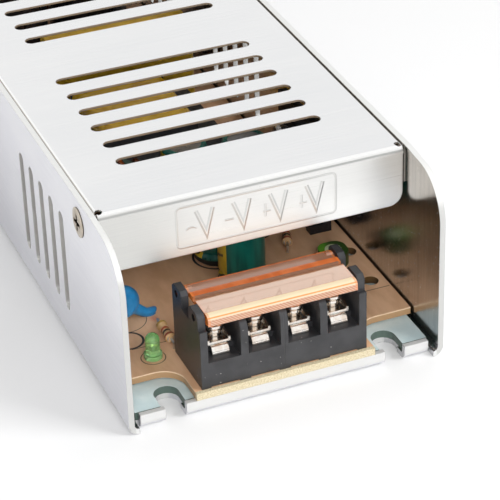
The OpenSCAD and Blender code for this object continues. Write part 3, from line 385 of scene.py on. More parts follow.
def plated(low, high, shine):
    """The recipe of a plated metal between two colours, clouded and finely scuffed, with soft edges."""
    def recipe(tree):
        place = surface_point(tree)
        scuffs = grain(place, 6, 4)
        return tree.node("BsdfPrincipled", sockets={
            "Base Color": mottled(grain(place, 0.6, 3), low, high), "Metallic": 1.0,
            "Roughness": shine + scuffs * 0.22, "Normal": relief(tree, scuffs, 0.015, 0.15)})
    return recipe


dress(material("zinc_plate", plated(tone(196, 198, 206), tone(224, 224, 226), 0.16)),
      "board_spacers", "board_screws", "rectifier_screws", "transistor_screws")

# Circuit board
# Pressed paper and phenolic resin, punched to outline; its edge shows pale fibres and a painted top
# highlight.
# Outlines of the parts and a few rings are printed on it in black, and inspection left faint red dabs.
output_end = case_low.y / MM
input_end = case_high.y / MM
board_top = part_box("circuit_board")[1].z / MM
tongue_half = 19.4
strip_depth = 2.1
lamp_spot = (-22.6, output_end + 16.9)
disc_spot = (-23.6, output_end + 32.4)
can_spots = np.array([(4.8, 36.5), (3.4, 47.6), (0.8, 58.3), (13.6, 55.0)]) + (0, output_end)
hole_spots = [(29.2, output_end + 24.6), (-29.2, output_end + 24.6), (29.9, output_end + 37.3)]
hole_radius = 1.7
printed_rings = [(lamp_spot, 2.5, 0.2), ((-25.1, output_end + 24.6), 3.0, 0.5), (disc_spot, 4.9, 0.16)]
printed_rings += [(spot, 5.2, 0.5) for spot in can_spots.tolist()]
printed_bars = [((-21.4, output_end + 21.3), 8.4, 0.18), ((29.2, output_end + 21.3), 5.6, 0.18)]
red_dabs = [((-17.4, output_end + 30.2), 1.5), ((-19.6, output_end + 35.2), 1.3)]
dab_core = 0.3


def reach_from(x, y, centre):
    """How far a point on a plane is from a centre."""
    return x.node("VectorMath", {"operation": "LENGTH"}, {
        0: x.node("CombineXYZ", sockets={0: x - centre[0], 1: y - centre[1]})}, "Value")


def ring_print(x, y, centre, radius, width):
    """A printed ring: 1 where the distance to its centre is within half a width of its radius."""
    return abs(reach_from(x, y, centre) - radius).rise(width / 2 + 0.04, width / 2 - 0.04)


def bar_print(x, y, centre, length, width):
    """A printed bar along x: 1 inside its length and width."""
    return (abs(x - centre[0]).rise(length / 2 + 0.05, length / 2 - 0.05)
            & abs(y - centre[1]).rise(width / 2 + 0.04, width / 2 - 0.04))


def paper_board(tree):
    """A pulpy top with its prints and dabs, fibres and a painted highlight in the cut edge, hole walls
    painted dark as painted shade, and a paler strip at the end of each tongue."""
    place = surface_point(tree)
    x, y = place.x, place.y
    upward = facing(tree).z
    pulp = grain(place, (0.35, 0.12, 0.35), 3)
    flecks = grain(place, 3.5)
    top = mottled(pulp, tone(211, 166, 129), tone(227, 184, 147))
    # Painted highlight: the cut edge is painted lighter near the board's top; the flecks are its pale fibres.
    fibres = place.z.rise(board_top - 0.4, board_top - 0.15) * 0.8 + flecks * 0.4
    cut_edge = fibres.rise(0.2, 1.0).blend(tone(176, 140, 102), tone(230, 202, 168))
    tongue_edge = flecks.rise(0.35, 0.65).blend(tone(188, 173, 138), tone(216, 205, 177))
    strip_from = -output_end - strip_depth
    strip = (abs(x).rise(tongue_half + 0.2, tongue_half - 0.2)
             & abs(y).rise(strip_from - 0.1, strip_from + 0.1))
    outlines = any_of([ring_print(x, y, *ring) for ring in printed_rings]
                      + [bar_print(x, y, *bar) for bar in printed_bars])
    # Painted shade: the walls of the board's holes are painted dark brown.
    hole_shade = any_of([reach_from(x, y, spot).rise(hole_radius + 0.1, hole_radius + 0.04) for spot in hole_spots])
    dabs = any_of([reach_from(x, y, spot).rise(radius, dab_core) for spot, radius in red_dabs]) * flecks
    printed_top = (dabs * 0.9).blend(outlines.blend(top, tone(48, 42, 38)), tone(206, 96, 84))
    flat = abs(upward).rise(0.4, 0.8)
    colour = flat.blend(hole_shade.blend(cut_edge, tone(92, 68, 40)), upward.rise(0.5, 0.8).blend(top, printed_top))
    return tree.node("BsdfPrincipled", sockets={
        "Base Color": strip.blend(colour, tongue_edge), "Roughness": 0.42 + flecks * 0.16,
        "Normal": relief(tree, flecks, 0.03, 0.12)})


dress(material("paper_board", paper_board), "circuit_board")

# Power lamp
# A 3 mm lamp cast in green-tinted clear epoxy round a small plated cup, standing on its leads in a
# printed ring. The epoxy is glossy from the mould, with faint swirls.
lamp_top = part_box("power_lamp")[1].z / MM
lamp_seat = board_top + 0.15
cup_section = np.array([(0.12, -3.9), (0.35, -3.9), (0.75, -2.5), (0.6, -2.5), (0.3, -3.3), (0.12, -3.3)])
cup_steps = 24


def turned(section, angle):
    """A section turned about an upright axis: each point's radius times the cosine and sine of each angle,
    and its height."""
    turn = np.stack([np.cos(angle), np.sin(angle), np.zeros(len(angle))], -1)
    return turn[:, None] * section[:, :1] + np.array((0, 0, 1)) * section[:, 1:]


def cup_points():
    """The lamp's cup: its section turned through falling angles about the lamp's axis."""
    angle = np.linspace(2 * math.pi, 0, cup_steps, endpoint=False)
    return (np.array((*lamp_spot, lamp_top)) + turned(cup_section, angle))[None] * MM


def smooth(piece, angle=40):
    """Shades a piece smoothly, except at edges sharper than the angle."""
    piece.data.polygons.foreach_set("use_smooth", np.ones(len(piece.data.polygons), bool))
    piece.data.set_sharp_from_angle(angle=math.radians(angle))


def green_epoxy(tree):
    """Faintly swirled clear epoxy, and tinned leads below the lamp's seat."""
    place = surface_point(tree)
    swirl = grain(place, 0.9)
    body = place.z.rise(lamp_seat - 0.05, lamp_seat + 0.05)
    colour = mottled(swirl, tone(164, 226, 146), tone(188, 238, 172))
    return tree.node("BsdfPrincipled", sockets={
        "Base Color": body.blend(tone(205, 205, 205), colour), "Metallic": 1 - body,
        "Roughness": 0.05 + swirl * 0.08, "Transmission Weight": 0.72, "IOR": 1.5,
        "Normal": relief(tree, swirl, 0.02)})


dress(material("green_epoxy", green_epoxy), "power_lamp")
lamp_cup = skin("lamp_cup", cup_points(), True)
lamp_cup.data.materials.append(material("cup_plate", plated(tone(214, 206, 150), tone(232, 224, 176), 0.2)))
smooth(lamp_cup)
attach(lamp_cup, "case")

# Disc capacitor and varistor
# Ceramic discs on two bent wire legs, dipped in blue epoxy that runs a little way down the legs.
# The dipped coat is glossy and slightly uneven, and swells where a leg leaves the disc.
disc_level = 4.4
leg_lean = math.radians(52)
leg_seat = board_top - 0.15
dip_radius = 1.05
dip_start, dip_round, dip_end = 2.4, 8.2, 9.19
dip_lie = 0.55
dip_steps = 28
dip_corners = 20


def dip_points():
    """Runs of epoxy down the two leaning legs: each point of a leg plus the run's radius times the cosine of
    an angle along the disc's thickness and the sine across that and the leg, and nothing below the board's
    top. The radius falls away from the disc and closes in a quarter round at the leg's foot, which lies
    flat."""
    side = np.array([-1.0, 1.0])
    leg = np.stack([side * math.sin(leg_lean), 0 * side, 0 * side - math.cos(leg_lean)], -1)
    thickness = np.array((0.0, 1.0, 0.0))
    across = np.cross(leg, thickness)
    along = np.linspace(dip_start, dip_end, dip_steps)
    closing = np.sqrt(1 - np.maximum(along - dip_round, 0) ** 2)
    radius = (dip_radius + np.exp(dip_start - along)) * closing
    angle = np.linspace(0, 2 * math.pi, dip_corners, endpoint=False)[:, None]
    ring = np.cos(angle) * thickness + np.sin(angle) * across[:, None]
    centre = np.array((*disc_spot, board_top + disc_level))
    path = centre + leg[:, None] * along[:, None]
    path[..., 2] = np.maximum(path[..., 2], board_top + dip_lie)
    points = path[:, :, None] + ring[:, None] * radius[:, None, None]
    points[..., 2] = np.maximum(points[..., 2], board_top)
    return points * MM


def blue_dip(tree):
    """Epoxy with soft runs in it, and tinned wire below the legs' seat."""
    place = surface_point(tree)
    runs = grain(place, (0.5, 0.5, 0.25))
    coat = place.z.rise(leg_seat - 0.05, leg_seat + 0.05)
    colour = mottled(runs, tone(26, 118, 176), tone(48, 144, 204))
    return tree.node("BsdfPrincipled", sockets={
        "Base Color": coat.blend(tone(190, 190, 192), colour), "Metallic": 1 - coat,
        "Roughness": 0.24 + runs * 0.14, "Coat Weight": 0.3, "Normal": relief(tree, runs, 0.12)})


dipped = material("blue_dip", blue_dip)
dress(dipped, "disc_capacitor", "varistor")
disc_runs = skin("disc_runs", dip_points())
disc_runs.data.materials.append(dipped)
smooth(disc_runs, angle=60)
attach(disc_runs, "case")

# Output capacitors
# Aluminium cans with a groove rolled in near the foot and a teal sleeve shrunk on, black at the foot.
# The sleeve leaves the sunk top bare, and a printed yellow stripe with dashes marks the minus side.
can_radius = 5.0
can_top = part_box("output_capacitors")[1].z / MM
sunk_floor, sunk_rim = 0.39, 0.15
black_foot_height = 1.75
groove_level = 3.0
groove_half = 0.8
groove_depth = 0.5
stripe_low, stripe_gap = 1.9, 0.9
stripe_middle = math.radians(184)
stripe_half = math.radians(25)
stripe_proud = 0.04
stripe_steps = 13
dash_step = 5.2
dash_slant = 0.7
dash_share = (0.42, 0.54)
dash_half = 0.57


def shrunk_sleeve(low, high, top):
    """The recipe of a sleeved can: a sleeve between two colours, a bare sunk top and a black foot."""
    def recipe(tree):
        place = surface_point(tree)
        z = place.z
        film = grain(place, (0.7, 0.7, 0.1))
        bare = (facing(tree).z.rise(0.8, 0.9) & z.rise(top - sunk_floor - 0.03, top - sunk_floor + 0.03)
                & z.rise(top - sunk_rim + 0.05, top - sunk_rim - 0.05))
        # The sleeve is black for a short height above the board.
        foot = z.rise(board_top + black_foot_height + 0.15, board_top + black_foot_height - 0.15)
        colour = foot.blend(mottled(film, low, high), tone(20, 20, 20))
        return tree.node("BsdfPrincipled", sockets={
            "Base Color": bare.blend(colour, tone(170, 170, 172)), "Metallic": bare,
            "Roughness": 0.2 + film * 0.2 + foot * 0.3, "Normal": relief(tree, film, 0.06, 0.15)})
    return recipe


def stripe_points():
    """A stripe's section, a thin skin that follows the can's wall and groove, turned through part of a circle
    about each can's axis."""
    wall = np.array([(0, stripe_low), (0, groove_level - groove_half), (-groove_depth, groove_level),
                     (0, groove_level + groove_half), (0, can_top - board_top - stripe_gap)])
    outer = wall + (can_radius + stripe_proud, board_top)
    section = np.concatenate([outer, outer[::-1] - (3 * stripe_proud, 0)])
    angle = np.linspace(stripe_middle + stripe_half, stripe_middle - stripe_half, stripe_steps)
    centres = np.concatenate([can_spots, np.zeros((len(can_spots), 1))], 1)
    return (centres[:, None, None] + turned(section, angle)) * MM


def keep_number(piece, name, values):
    """Keeps one number for each point of a piece's mesh, for its material to read."""
    piece.data.attributes.new(name, "FLOAT", "POINT").data.foreach_set("value", np.ravel(values))


def yellow_print(tree):
    """Yellow ink over the stripe, with slanting dark dashes at an even step up the can."""
    place = surface_point(tree)
    film = grain(place, (0.7, 0.7, 0.3), 3)
    across = tree.node("Attribute", {"attribute_name": "across"}, output="Fac")
    step = tree.math("FRACT", (place.z - board_top + across * dash_slant) * (1 / dash_step))
    dash = abs(across).rise(dash_half + 0.05, dash_half - 0.05) & step.within(*dash_share, 0.02)
    colour = mottled(film, tone(184, 156, 26), tone(208, 180, 46))
    return tree.node("BsdfPrincipled", sockets={
        "Base Color": dash.blend(colour, tone(38, 44, 26)), "Roughness": 0.28 + film * 0.2,
        "Normal": relief(tree, film, 0.05)})


dress(material("teal_sleeve", shrunk_sleeve(tone(8, 78, 70), tone(16, 104, 92), can_top)),
      "output_capacitors")
stripe_grid = stripe_points()
can_stripes = skin("can_stripes", stripe_grid)
keep_number(can_stripes, "across", np.broadcast_to(
    np.linspace(-1, 1, stripe_steps)[:, None], stripe_grid.shape[:3]))
can_stripes.data.materials.append(material("yellow_print", yellow_print))
smooth(can_stripes)
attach(can_stripes, "case")

# Output adjuster
# A small trimmer: a moulded green box with a slotted pale rotor pressed into its top. Both are satin plastic
# with a fine spark-eroded skin, and the box's sides and the right of its top are painted darker as painted
# shade.
shade_edge = (23.6, 25.6)


def eroded(tree, colour, shine, depth):
    """The shader of a moulded plastic, with a fine spark-eroded skin and soft edges."""
    skin_grain = grain(surface_point(tree), 9)
    return tree.node("BsdfPrincipled", sockets={
        "Base Color": colour, "Roughness": shine + skin_grain * 0.2,
        "Normal": relief(tree, skin_grain, depth, 0.2)})


def moulded(low, high, shine, depth=0.02):
    """The recipe of a moulded plastic, softly clouded between two colours."""
    def recipe(tree):
        return eroded(tree, mottled(grain(surface_point(tree), 0.3), low, high), shine, depth)
    return recipe


def shade_painted_green(tree):
    """Sides painted dark as painted shade, and a top that goes from bright to dark green across a painted
    shade edge.
    """
    place = surface_point(tree)
    side = mottled(grain(place, 0.3), tone(32, 46, 20), tone(44, 60, 28))
    # Painted shade: the sides are painted dark, and the top darkens past the shade edge towards the wall.
    top = place.x.rise(*shade_edge).blend(tone(92, 150, 44), tone(50, 78, 30))
    return eroded(tree, facing(tree).z.rise(0.3, 0.8).blend(side, top), 0.3, 0.02)


dress(material("shade_painted_green", shade_painted_green), "adjuster_body")
dress(material("white_moulding", moulded(tone(168, 178, 138), tone(188, 196, 158), 0.35)), "adjuster_rotor")

# Axial resistors
# Film resistors dipped in tan lacquer, with thicker ends over their caps and tinned leads bent down to
# the board. Four lacquer bands are rolled round each body.
axial_height = 1.4
axial_body = 3.0
axial_spots = np.array([(-17.6, output_end + 22.8), (19.5, output_end + 47.0), (-3.0, input_end - 86.0)])
axial_turns = np.radians([90.0, 70.0, 0.0])
lead_reach = 6.0
lead_high = board_top + 0.2
band_places = np.array([-2.3, -0.7, 0.3, 2.3])
band_radii = np.array([1.1, 0.85, 0.85, 1.1])
band_colours = [tone(150, 62, 40), tone(46, 36, 32), tone(170, 66, 36), tone(184, 148, 70)]
band_half = 0.28
band_proud = 0.03
band_steps = 20


def band_points():
    """Rings round the resistors' axes: each body's centre, plus the band's place along the axis and a section
    point's offset along it, plus that section point's radius times the cosine of a falling angle sideways and
    its sine upwards."""
    count = len(axial_spots)
    along = np.stack([np.cos(axial_turns), np.sin(axial_turns), np.zeros(count)], -1)
    sideways = np.stack([-np.sin(axial_turns), np.cos(axial_turns), np.zeros(count)], -1)
    centre = np.concatenate([axial_spots, np.full((count, 1), board_top + axial_height)], 1)
    offset = np.array([-1, 1, 1, -1]) * band_half
    radius = band_radii[:, None] + np.array([-1, -1, 1, 1]) * band_proud
    angle = np.linspace(2 * math.pi, 0, band_steps, endpoint=False)
    middle = centre[:, None] + along[:, None] * band_places[:, None]
    out = np.cos(angle)[:, None] * sideways[:, None] + np.sin(angle)[:, None] * np.array((0, 0, 1))
    points = (middle[:, :, None, None] + along[:, None, None, None] * offset[:, None]
              + out[:, None, :, None] * radius[:, None, :, None])
    return points.reshape(-1, band_steps, len(offset), 3) * MM


def tan_lacquer(tree):
    """Lacquer on the bodies, and tinned metal past the ends of a body and close to the board."""
    place = surface_point(tree)
    x, y = place.x, place.y
    drips = grain(place, 0.8)
    lead = any_of([place.z.rise(lead_high + 0.05, lead_high - 0.05)]
                  + [reach_from(x, y, spot).within(axial_body + 0.05, lead_reach, 0.03)
                     for spot in axial_spots.tolist()])
    colour = mottled(drips, tone(196, 156, 108), tone(216, 182, 138))
    return tree.node("BsdfPrincipled", sockets={
        "Base Color": lead.blend(colour, tone(214, 214, 214)), "Metallic": lead,
        "Roughness": 0.25 + drips * 0.2, "Normal": relief(tree, drips, 0.06)})


def band_lacquer(tree):
    """Lacquer whose colour is picked by the band's own number."""
    drips = grain(surface_point(tree), 1.2)
    band = tree.node("Attribute", {"attribute_name": "band"}, output="Fac")
    colour = band_colours[0]
    for number, band_colour in enumerate(band_colours[1:]):
        colour = band.rise(number + 0.4, number + 0.6).blend(colour, band_colour)
    return tree.node("BsdfPrincipled", sockets={
        "Base Color": colour, "Roughness": 0.25 + drips * 0.2, "Normal": relief(tree, drips, 0.03)})


dress(material("tan_lacquer", tan_lacquer), "axial_resistors")
band_grid = band_points()
band_numbers = np.tile(np.arange(len(band_places)), len(axial_spots)).astype(float)
resistor_bands = skin("resistor_bands", band_grid, True)
keep_number(resistor_bands, "band", np.broadcast_to(band_numbers[:, None, None], band_grid.shape[:3]))
resistor_bands.data.materials.append(material("band_lacquer", band_lacquer))
smooth(resistor_bands)
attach(resistor_bands, "case")

# Toroid chokes
# Powder rings in a tough green-grey coat, wound by hand with thick enamelled copper wire.
# The output choke stands on edge, and the line choke lies flat with its two windings apart.
ring_outer, ring_bore, ring_height = 20.0, 10.5, 8.0
choke_wire = 1.3
choke_slack = 0.1
choke_turns = 14
half_turns = 6
turn_square = 0.3
turn_steps = 32
wire_corners = 8


def wound_points(turns, start, sweep, closed):
    """A round wire wound round a ring that lies flat about the origin. The path goes round a rounded square
    about the ring's section while it moves on round the ring; each point of the tube is a path point plus the
    wire's radius times the cosine along the section's outward direction and the sine along the direction
    across that and the path."""
    share = np.linspace(0, 1, turns * turn_steps + (not closed), endpoint=not closed)
    ring_angle = start + sweep * share
    section_angle = 2 * math.pi * turns * share
    out = np.cos(section_angle)
    rise = np.sin(section_angle)
    half_width = (ring_outer - ring_bore) / 4 + choke_slack + choke_wire / 2
    half_height = ring_height / 2 + choke_slack + choke_wire / 2
    flat_out = half_width * np.sign(out) * np.abs(out) ** turn_square
    flat_rise = half_height * np.sign(rise) * np.abs(rise) ** turn_square
    spoke = np.stack([np.cos(ring_angle), np.sin(ring_angle), np.zeros(len(share))], -1)
    upward = np.array((0.0, 0.0, 1.0))
    shift = spoke * flat_out[:, None] + upward * flat_rise[:, None]
    path = spoke * ((ring_outer + ring_bore) / 4) + shift
    if closed:
        along = np.roll(path, -1, 0) - np.roll(path, 1, 0)
    else:
        along = np.gradient(path, axis=0)
    along /= np.linalg.norm(along, axis=1, keepdims=True)
    normal = shift - (shift * along).sum(1, keepdims=True) * along
    normal /= np.linalg.norm(normal, axis=1, keepdims=True)
    across = np.cross(along, normal)
    angle = np.linspace(0, 2 * math.pi, wire_corners, endpoint=False)[:, None]
    radius = choke_wire / 2
    return path[:, None] + radius * (np.cos(angle) * normal[:, None] + np.sin(angle) * across[:, None])


def ring_coat(tree):
    """A dull coat that takes its two greens and its roughness from the powder's grains."""
    powder = grain(surface_point(tree), 3, 3)
    return tree.node("BsdfPrincipled", sockets={
        "Base Color": mottled(powder, tone(54, 74, 64), tone(74, 96, 84)),
        "Roughness": 0.4 + powder * 0.2, "Normal": relief(tree, powder, 0.05, 0.3)})


def enamelled_wire(tree):
    """Copper under a clear varnish of uneven depth."""
    varnish = grain(surface_point(tree), 0.8)
    return tree.node("BsdfPrincipled", sockets={
        "Base Color": mottled(varnish, tone(150, 72, 28), tone(196, 108, 52)), "Metallic": 0.85,
        "Roughness": 0.18 + varnish * 0.15, "Coat Weight": 0.5, "Normal": relief(tree, varnish, 0.03)})


def ring_middle(name):
    """The middle of a ring, in millimetres."""
    low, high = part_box(name)
    return np.array((low + high) / 2) / MM


dress(material("ring_coat", ring_coat), "output_choke_ring", "line_choke_ring")
enamel = material("enamelled_wire", enamelled_wire)
wound = wound_points(choke_turns, 0.0, 2 * math.pi, True)
standing = np.stack([wound[..., 0], -wound[..., 2], wound[..., 1]], -1) + ring_middle("output_choke_ring")
output_wire = skin("output_wire", standing[None] * MM, True)
half_sweep = 2 * math.pi * half_turns / choke_turns
lying = np.stack([wound_points(half_turns, middle - half_sweep / 2, half_sweep, False)
                  for middle in (0, math.pi)]) + ring_middle("line_choke_ring")
line_wire = skin("line_wire", lying * MM)
for wire, node in ((output_wire, "output_choke_winding"), (line_wire, "line_choke_winding")):
    wire.data.materials.append(enamel)
    smooth(wire)
    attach(wire, "case")
    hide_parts(node)

# Transformers
# A ferrite core with ground faces is clamped round a black bobbin. Its winding is wrapped in yellow film
# tape, and so is the small driver transformer. The tape is glossy and slightly wrinkled.


def ground_ferrite(tree):
    """Two greys of fine ground grit, part metal."""
    grit = grain(surface_point(tree), 2.5, 4)
    return tree.node("BsdfPrincipled", sockets={
        "Base Color": mottled(grit, tone(52, 52, 54), tone(82, 82, 84)), "Metallic": 0.2,
        "Roughness": 0.4 + grit * 0.25, "Normal": relief(tree, grit, 0.06, 0.25)})


def film_tape(tree):
    """Glossy film whose wrinkles run level round the winding."""
    wrinkles = grain(surface_point(tree), (0.25, 0.25, 0.9), 3)
    return tree.node("BsdfPrincipled", sockets={
        "Base Color": mottled(wrinkles, tone(206, 158, 28), tone(232, 190, 60)),
        "Roughness": 0.14 + wrinkles * 0.2, "Normal": relief(tree, wrinkles, 0.25, 0.3)})


dress(material("ground_ferrite", ground_ferrite), "transformer_core")
dress(material("black_moulding", moulded(tone(52, 52, 55), tone(62, 62, 65), 0.3)), "transformer_bobbin")
dress(material("film_tape", film_tape), "transformer_winding", "driver_transformer")

# Heat spreaders and power devices
# Black anodised aluminium plates carry the rectifiers and transistors, each held by a screw through its
# tab. The devices, the control chip and the bridge rectifier are moulded in black epoxy.


def black_anodised(tree):
    """Dark anodising over drawing lines that run along the case."""
    lines = grain(surface_point(tree), (3, 0.2, 3), 3)
    return tree.node("BsdfPrincipled", sockets={
        "Base Color": mottled(lines, tone(34, 34, 37), tone(50, 50, 54)), "Metallic": 0.5,
        "Roughness": 0.32 + lines * 0.2, "Normal": relief(tree, lines, 0.02, 0.2)})


dress(material("black_anodised", black_anodised), "output_spreader", "primary_spreader")
dress(material("device_epoxy", moulded(tone(36, 36, 38), tone(46, 46, 48), 0.4)),
      "output_rectifiers", "power_transistors", "control_chip", "bridge_rectifier")

# Box capacitor
# A film capacitor potted in a moulded yellow case that stands across the board.
# Its skin is satin from the mould.
dress(material("yellow_moulding", moulded(tone(212, 168, 40), tone(230, 190, 64), 0.3)), "box_capacitor")

# Bulk capacitors
# Two large aluminium cans in shrunk black sleeves, with rolled grooves near the foot.
# Their sunk tops are bare, as on the smaller cans.
bulk_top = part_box("bulk_capacitors")[1].z / MM
dress(material("black_sleeve", shrunk_sleeve(tone(26, 26, 30), tone(38, 38, 44), bulk_top)),
      "bulk_capacitors")

# Input side parts
# The inrush thermistor is a disc in a dull green-black dip, and the fuse is a glazed tube with pressed
# nickel caps.
fuse_low, fuse_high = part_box("fuse")
fuse_middle = (fuse_low.y + fuse_high.y) / 2 / MM
fuse_half = (fuse_high.y - fuse_low.y) / 2 / MM
fuse_cap = 5.0


def glazed_tube(tree):
    """White glaze, and plated metal within a cap's length of each end."""
    place = surface_point(tree)
    glaze = grain(place, 0.6)
    cap = abs(place.y - fuse_middle).rise(fuse_half - fuse_cap - 0.05, fuse_half - fuse_cap + 0.05)
    colour = mottled(glaze, tone(222, 218, 208), tone(238, 236, 230))
    return tree.node("BsdfPrincipled", sockets={
        "Base Color": cap.blend(colour, tone(208, 206, 202)), "Metallic": cap,
        "Roughness": 0.14 + glaze * 0.14, "Normal": relief(tree, glaze, 0.03, 0.15)})


dress(material("dull_dip", moulded(tone(40, 52, 42), tone(56, 70, 58), 0.45, 0.06)), "inrush_thermistor")
dress(material("glazed_tube", glazed_tube), "fuse")

# Terminal blocks
# Black glass-filled plastic barrier blocks, moulded in one with their end plates and dividers.
# The flat faces are satin, with a faint joint line on the front and a little white dust, and the cored pin
# holes in the lugs are painted dark as painted shade.
block_face = -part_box("output_terminal_block")[0].y / MM
joint_edge = (0.14, 0.05)
pin_level = 15.2
pin_depths = (3.2, 12.6)
pin_hole_radius = 0.8


def glass_filled(tree):
    """Clouded black with fine fibres, specks of dust, the front's joint line and pin holes painted dark as
    shade.
    """
    place = surface_point(tree)
    z = place.z
    depth = block_face - abs(place.y)
    fibres = grain(place, 7, 3)
    dust = grain(place, 2.4, 0).rise(0.86, 0.88)
    joint_line = abs(place.x).rise(*joint_edge) & abs(facing(tree).y).rise(0.7, 0.9)
    # Painted shade: the cored pin holes in the lugs are painted near black.
    hole_shade = any_of([reach_from(depth, z, (pin_depth, board_top + pin_level)).rise(
        pin_hole_radius + 0.12, pin_hole_radius + 0.02) for pin_depth in pin_depths])
    colour = mottled(grain(place, 0.25, 3), tone(45, 45, 47), tone(57, 57, 59))
    colour = hole_shade.blend(dust.blend(colour, tone(170, 168, 164)), tone(12, 12, 13))
    return tree.node("BsdfPrincipled", sockets={
        "Base Color": colour, "Roughness": 0.26 + fibres * 0.16,
        "Normal": relief(tree, fibres - joint_line * 2, 0.03, 0.25)})


dress(material("glass_filled", glass_filled), "output_terminal_block", "input_terminal_block")

# Contacts, clamps and terminal screws
# Brass contacts, square clamp washers and cross-head screws, all bright nickel plated.
# Each screw carries its washer up when it is undone.
terminals = [name for name in nodes if name.rstrip("_1234") in (
    "output_contacts", "output_clamp", "output_screw", "input_contacts", "input_clamp", "input_screw")]
dress(material("bright_nickel", plated(tone(236, 222, 208), tone(250, 246, 240), 0.01)), *terminals)

# Flip covers
# Clear orange plastic lids that turn on pins in the blocks' lugs and keep fingers off the screws.
# They are polished like glass; the colour is deepest in the ridge, the nose carries painted highlight lines,
# the cut ends carry a painted glow, and the broad front panel, which falls a little to the nose, mirrors
# what stands over it.
output_lid_half = 15.9
input_lid_half = 11.65
nose_depth = 1.85
panel_band = (1.9, 7.75)
groove_band = (7.75, 8.5)
rear_band = (10.25, 13.3)
panel_fall = 0.08
end_glow = 0.5
rib_slant = 1.2
rib_turn = 8.4
# Painted highlights on the nose: bright lines with an orange line between them, laid by the way it faces.
nose_painted_highlights = [(0.26, 0.36, tone(255, 226, 190)), (0.54, 0.60, tone(244, 166, 84)),
               (0.74, 0.82, tone(255, 240, 196))]


def clear_orange(half_length):
    """The recipe of a lid, with the colour laid in bands by depth behind the block's front face."""
    def recipe(tree):
        place = surface_point(tree)
        face = facing(tree)
        x, upward = place.x, face.z
        flow = grain(place, (0.5, 0.12, 0.12))
        depth = block_face - abs(place.y)
        flat = upward.rise(0.5, 0.8)
        nose = depth.rise(nose_depth + 0.15, nose_depth - 0.15)
        panel = depth.within(*panel_band, 0.12) & flat
        groove = depth.within(*groove_band, 0.08)
        rear = depth.within(*rear_band, 0.1) & flat
        rim = abs(x).within(half_length - end_glow, half_length + 0.2, 0.12)
        # Painted glow: the cut ends and a rim along them are painted bright orange, like light piped through.
        glowing_ends = abs(face.x).rise(0.5, 0.8) | rim * 0.55
        ribs = tree.math("SINE", (x + place.z * rib_slant) * rib_turn).rise(-0.5, 0.7)
        nose_colour = ribs.blend(tone(198, 140, 104), tone(220, 174, 142))
        # Painted highlight: the nose's upper faces are painted in bright and orange lines.
        for low, high, layer in nose_painted_highlights:
            nose_colour = upward.rise(low, high).blend(nose_colour, layer)
        colour = mottled(flow, tone(222, 116, 60), tone(238, 134, 76))
        colour = rear.blend(colour, tone(176, 128, 102))
        colour = groove.blend(colour, tone(172, 138, 114))
        colour = panel.blend(colour, tone(214, 150, 106))
        colour = nose.blend(colour, nose_colour)
        colour = glowing_ends.blend(colour, tone(252, 146, 66))
        normal = relief(tree, depth * panel_fall + flow * 0.02, 1.0)
        body = tree.node("BsdfPrincipled", sockets={
            "Base Color": colour, "Roughness": 0.06 + flow * 0.06, "Transmission Weight": 0.35, "IOR": 1.5,
            "Normal": normal})
        mirror = tree.node("BsdfGlossy", sockets={
            "Color": tone(250, 242, 234), "Roughness": 0.05, "Normal": normal})
        shine = panel * 0.46 + rear * 0.05 + groove * 0.2 + nose * 0.08 + 0.04
        return tree.node("MixShader", sockets={0: shine, 1: body, 2: mirror})
    return recipe


dress(material("clear_orange_output", clear_orange(output_lid_half)), "output_flip_cover")
dress(material("clear_orange_input", clear_orange(input_lid_half)), "input_flip_cover")

# Top cover
# A thinner aluminium lid with six slots in each of three groups, finely brushed across its width.
# Its end flanges fold down over both ends and its side flanges slip inside the walls. The bends carry a
# painted highlight and a painted grey reflection line, the flanges are painted darker on the left and near
# the bends as painted shade, and the slots' punched walls are dull and painted a dark warm grey as painted
# shade.
flange_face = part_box("top_cover")[0].y / MM
slot_reach = 30.0
slot_zone = -flange_face - 3.0
shaded_side = (-27, -6)
flange_light_fall = (37, 29)
painted_reflection_band = (0.84, 0.95)
brush_depth = 0.003
lid_edge = 0.3


def brushed_lid(edge):
    """The recipe of the brushed sheet, with edges rounded by a radius in millimetres."""
    def recipe(tree):
        place = surface_point(tree)
        face = facing(tree)
        x, upward, endward = place.x, face.z, abs(face.y)
        brush = grain(place, (0.03, 7, 7), 3)
        bands = grain(place, (0.02, 1.6, 1.6))
        cloud = grain(place, (0.04, 0.06, 0.06))
        mixed = brush * 0.4 + bands * 0.2 + cloud * 0.4
        flange = endward.rise(0.6, 0.9)
        # Painted shade: the flanges are painted darker on the left and towards the bend, and paler low down.
        shaded_flange = mottled(mixed, tone(217, 217, 214), tone(225, 225, 222))
        lit_flange = place.z.rise(*flange_light_fall).blend(mottled(mixed, tone(234, 234, 232), tone(241, 241, 239)),
                                                mottled(mixed, tone(248, 248, 246), tone(254, 254, 252)))
        front = x.rise(*shaded_side).blend(shaded_flange, lit_flange)
        # Painted highlight: the bends are painted near white.
        bend = flange.blend(tone(255, 255, 254), front)
        # Painted reflection: a grey band where the bend's facing turns towards the dim room low down.
        bend = endward.within(*painted_reflection_band, 0.03).blend(bend, tone(194, 194, 192))
        top = mottled(mixed, tone(233, 234, 235), tone(240, 240, 240))
        colour = upward.rise(0.93, 0.98).blend(bend, top)
        # Painted shade: the slots' punched walls are painted a dark warm grey; they are also dull.
        punched = (abs(upward).rise(0.6, 0.3) & abs(x).rise(slot_reach, slot_reach - 0.5)
                   & abs(place.y).rise(slot_zone, slot_zone - 0.5))
        return tree.node("BsdfPrincipled", sockets={
            "Base Color": punched.blend(colour, tone(150, 134, 116)), "Metallic": 1 - punched * 0.6,
            "Roughness": 0.17 + brush * 0.16 + punched * 0.2 + flange * 0.06,
            "Normal": relief(tree, brush + bands, brush_depth, edge)})
    return recipe


dress(material("brushed_lid", brushed_lid(lid_edge)), "top_cover")

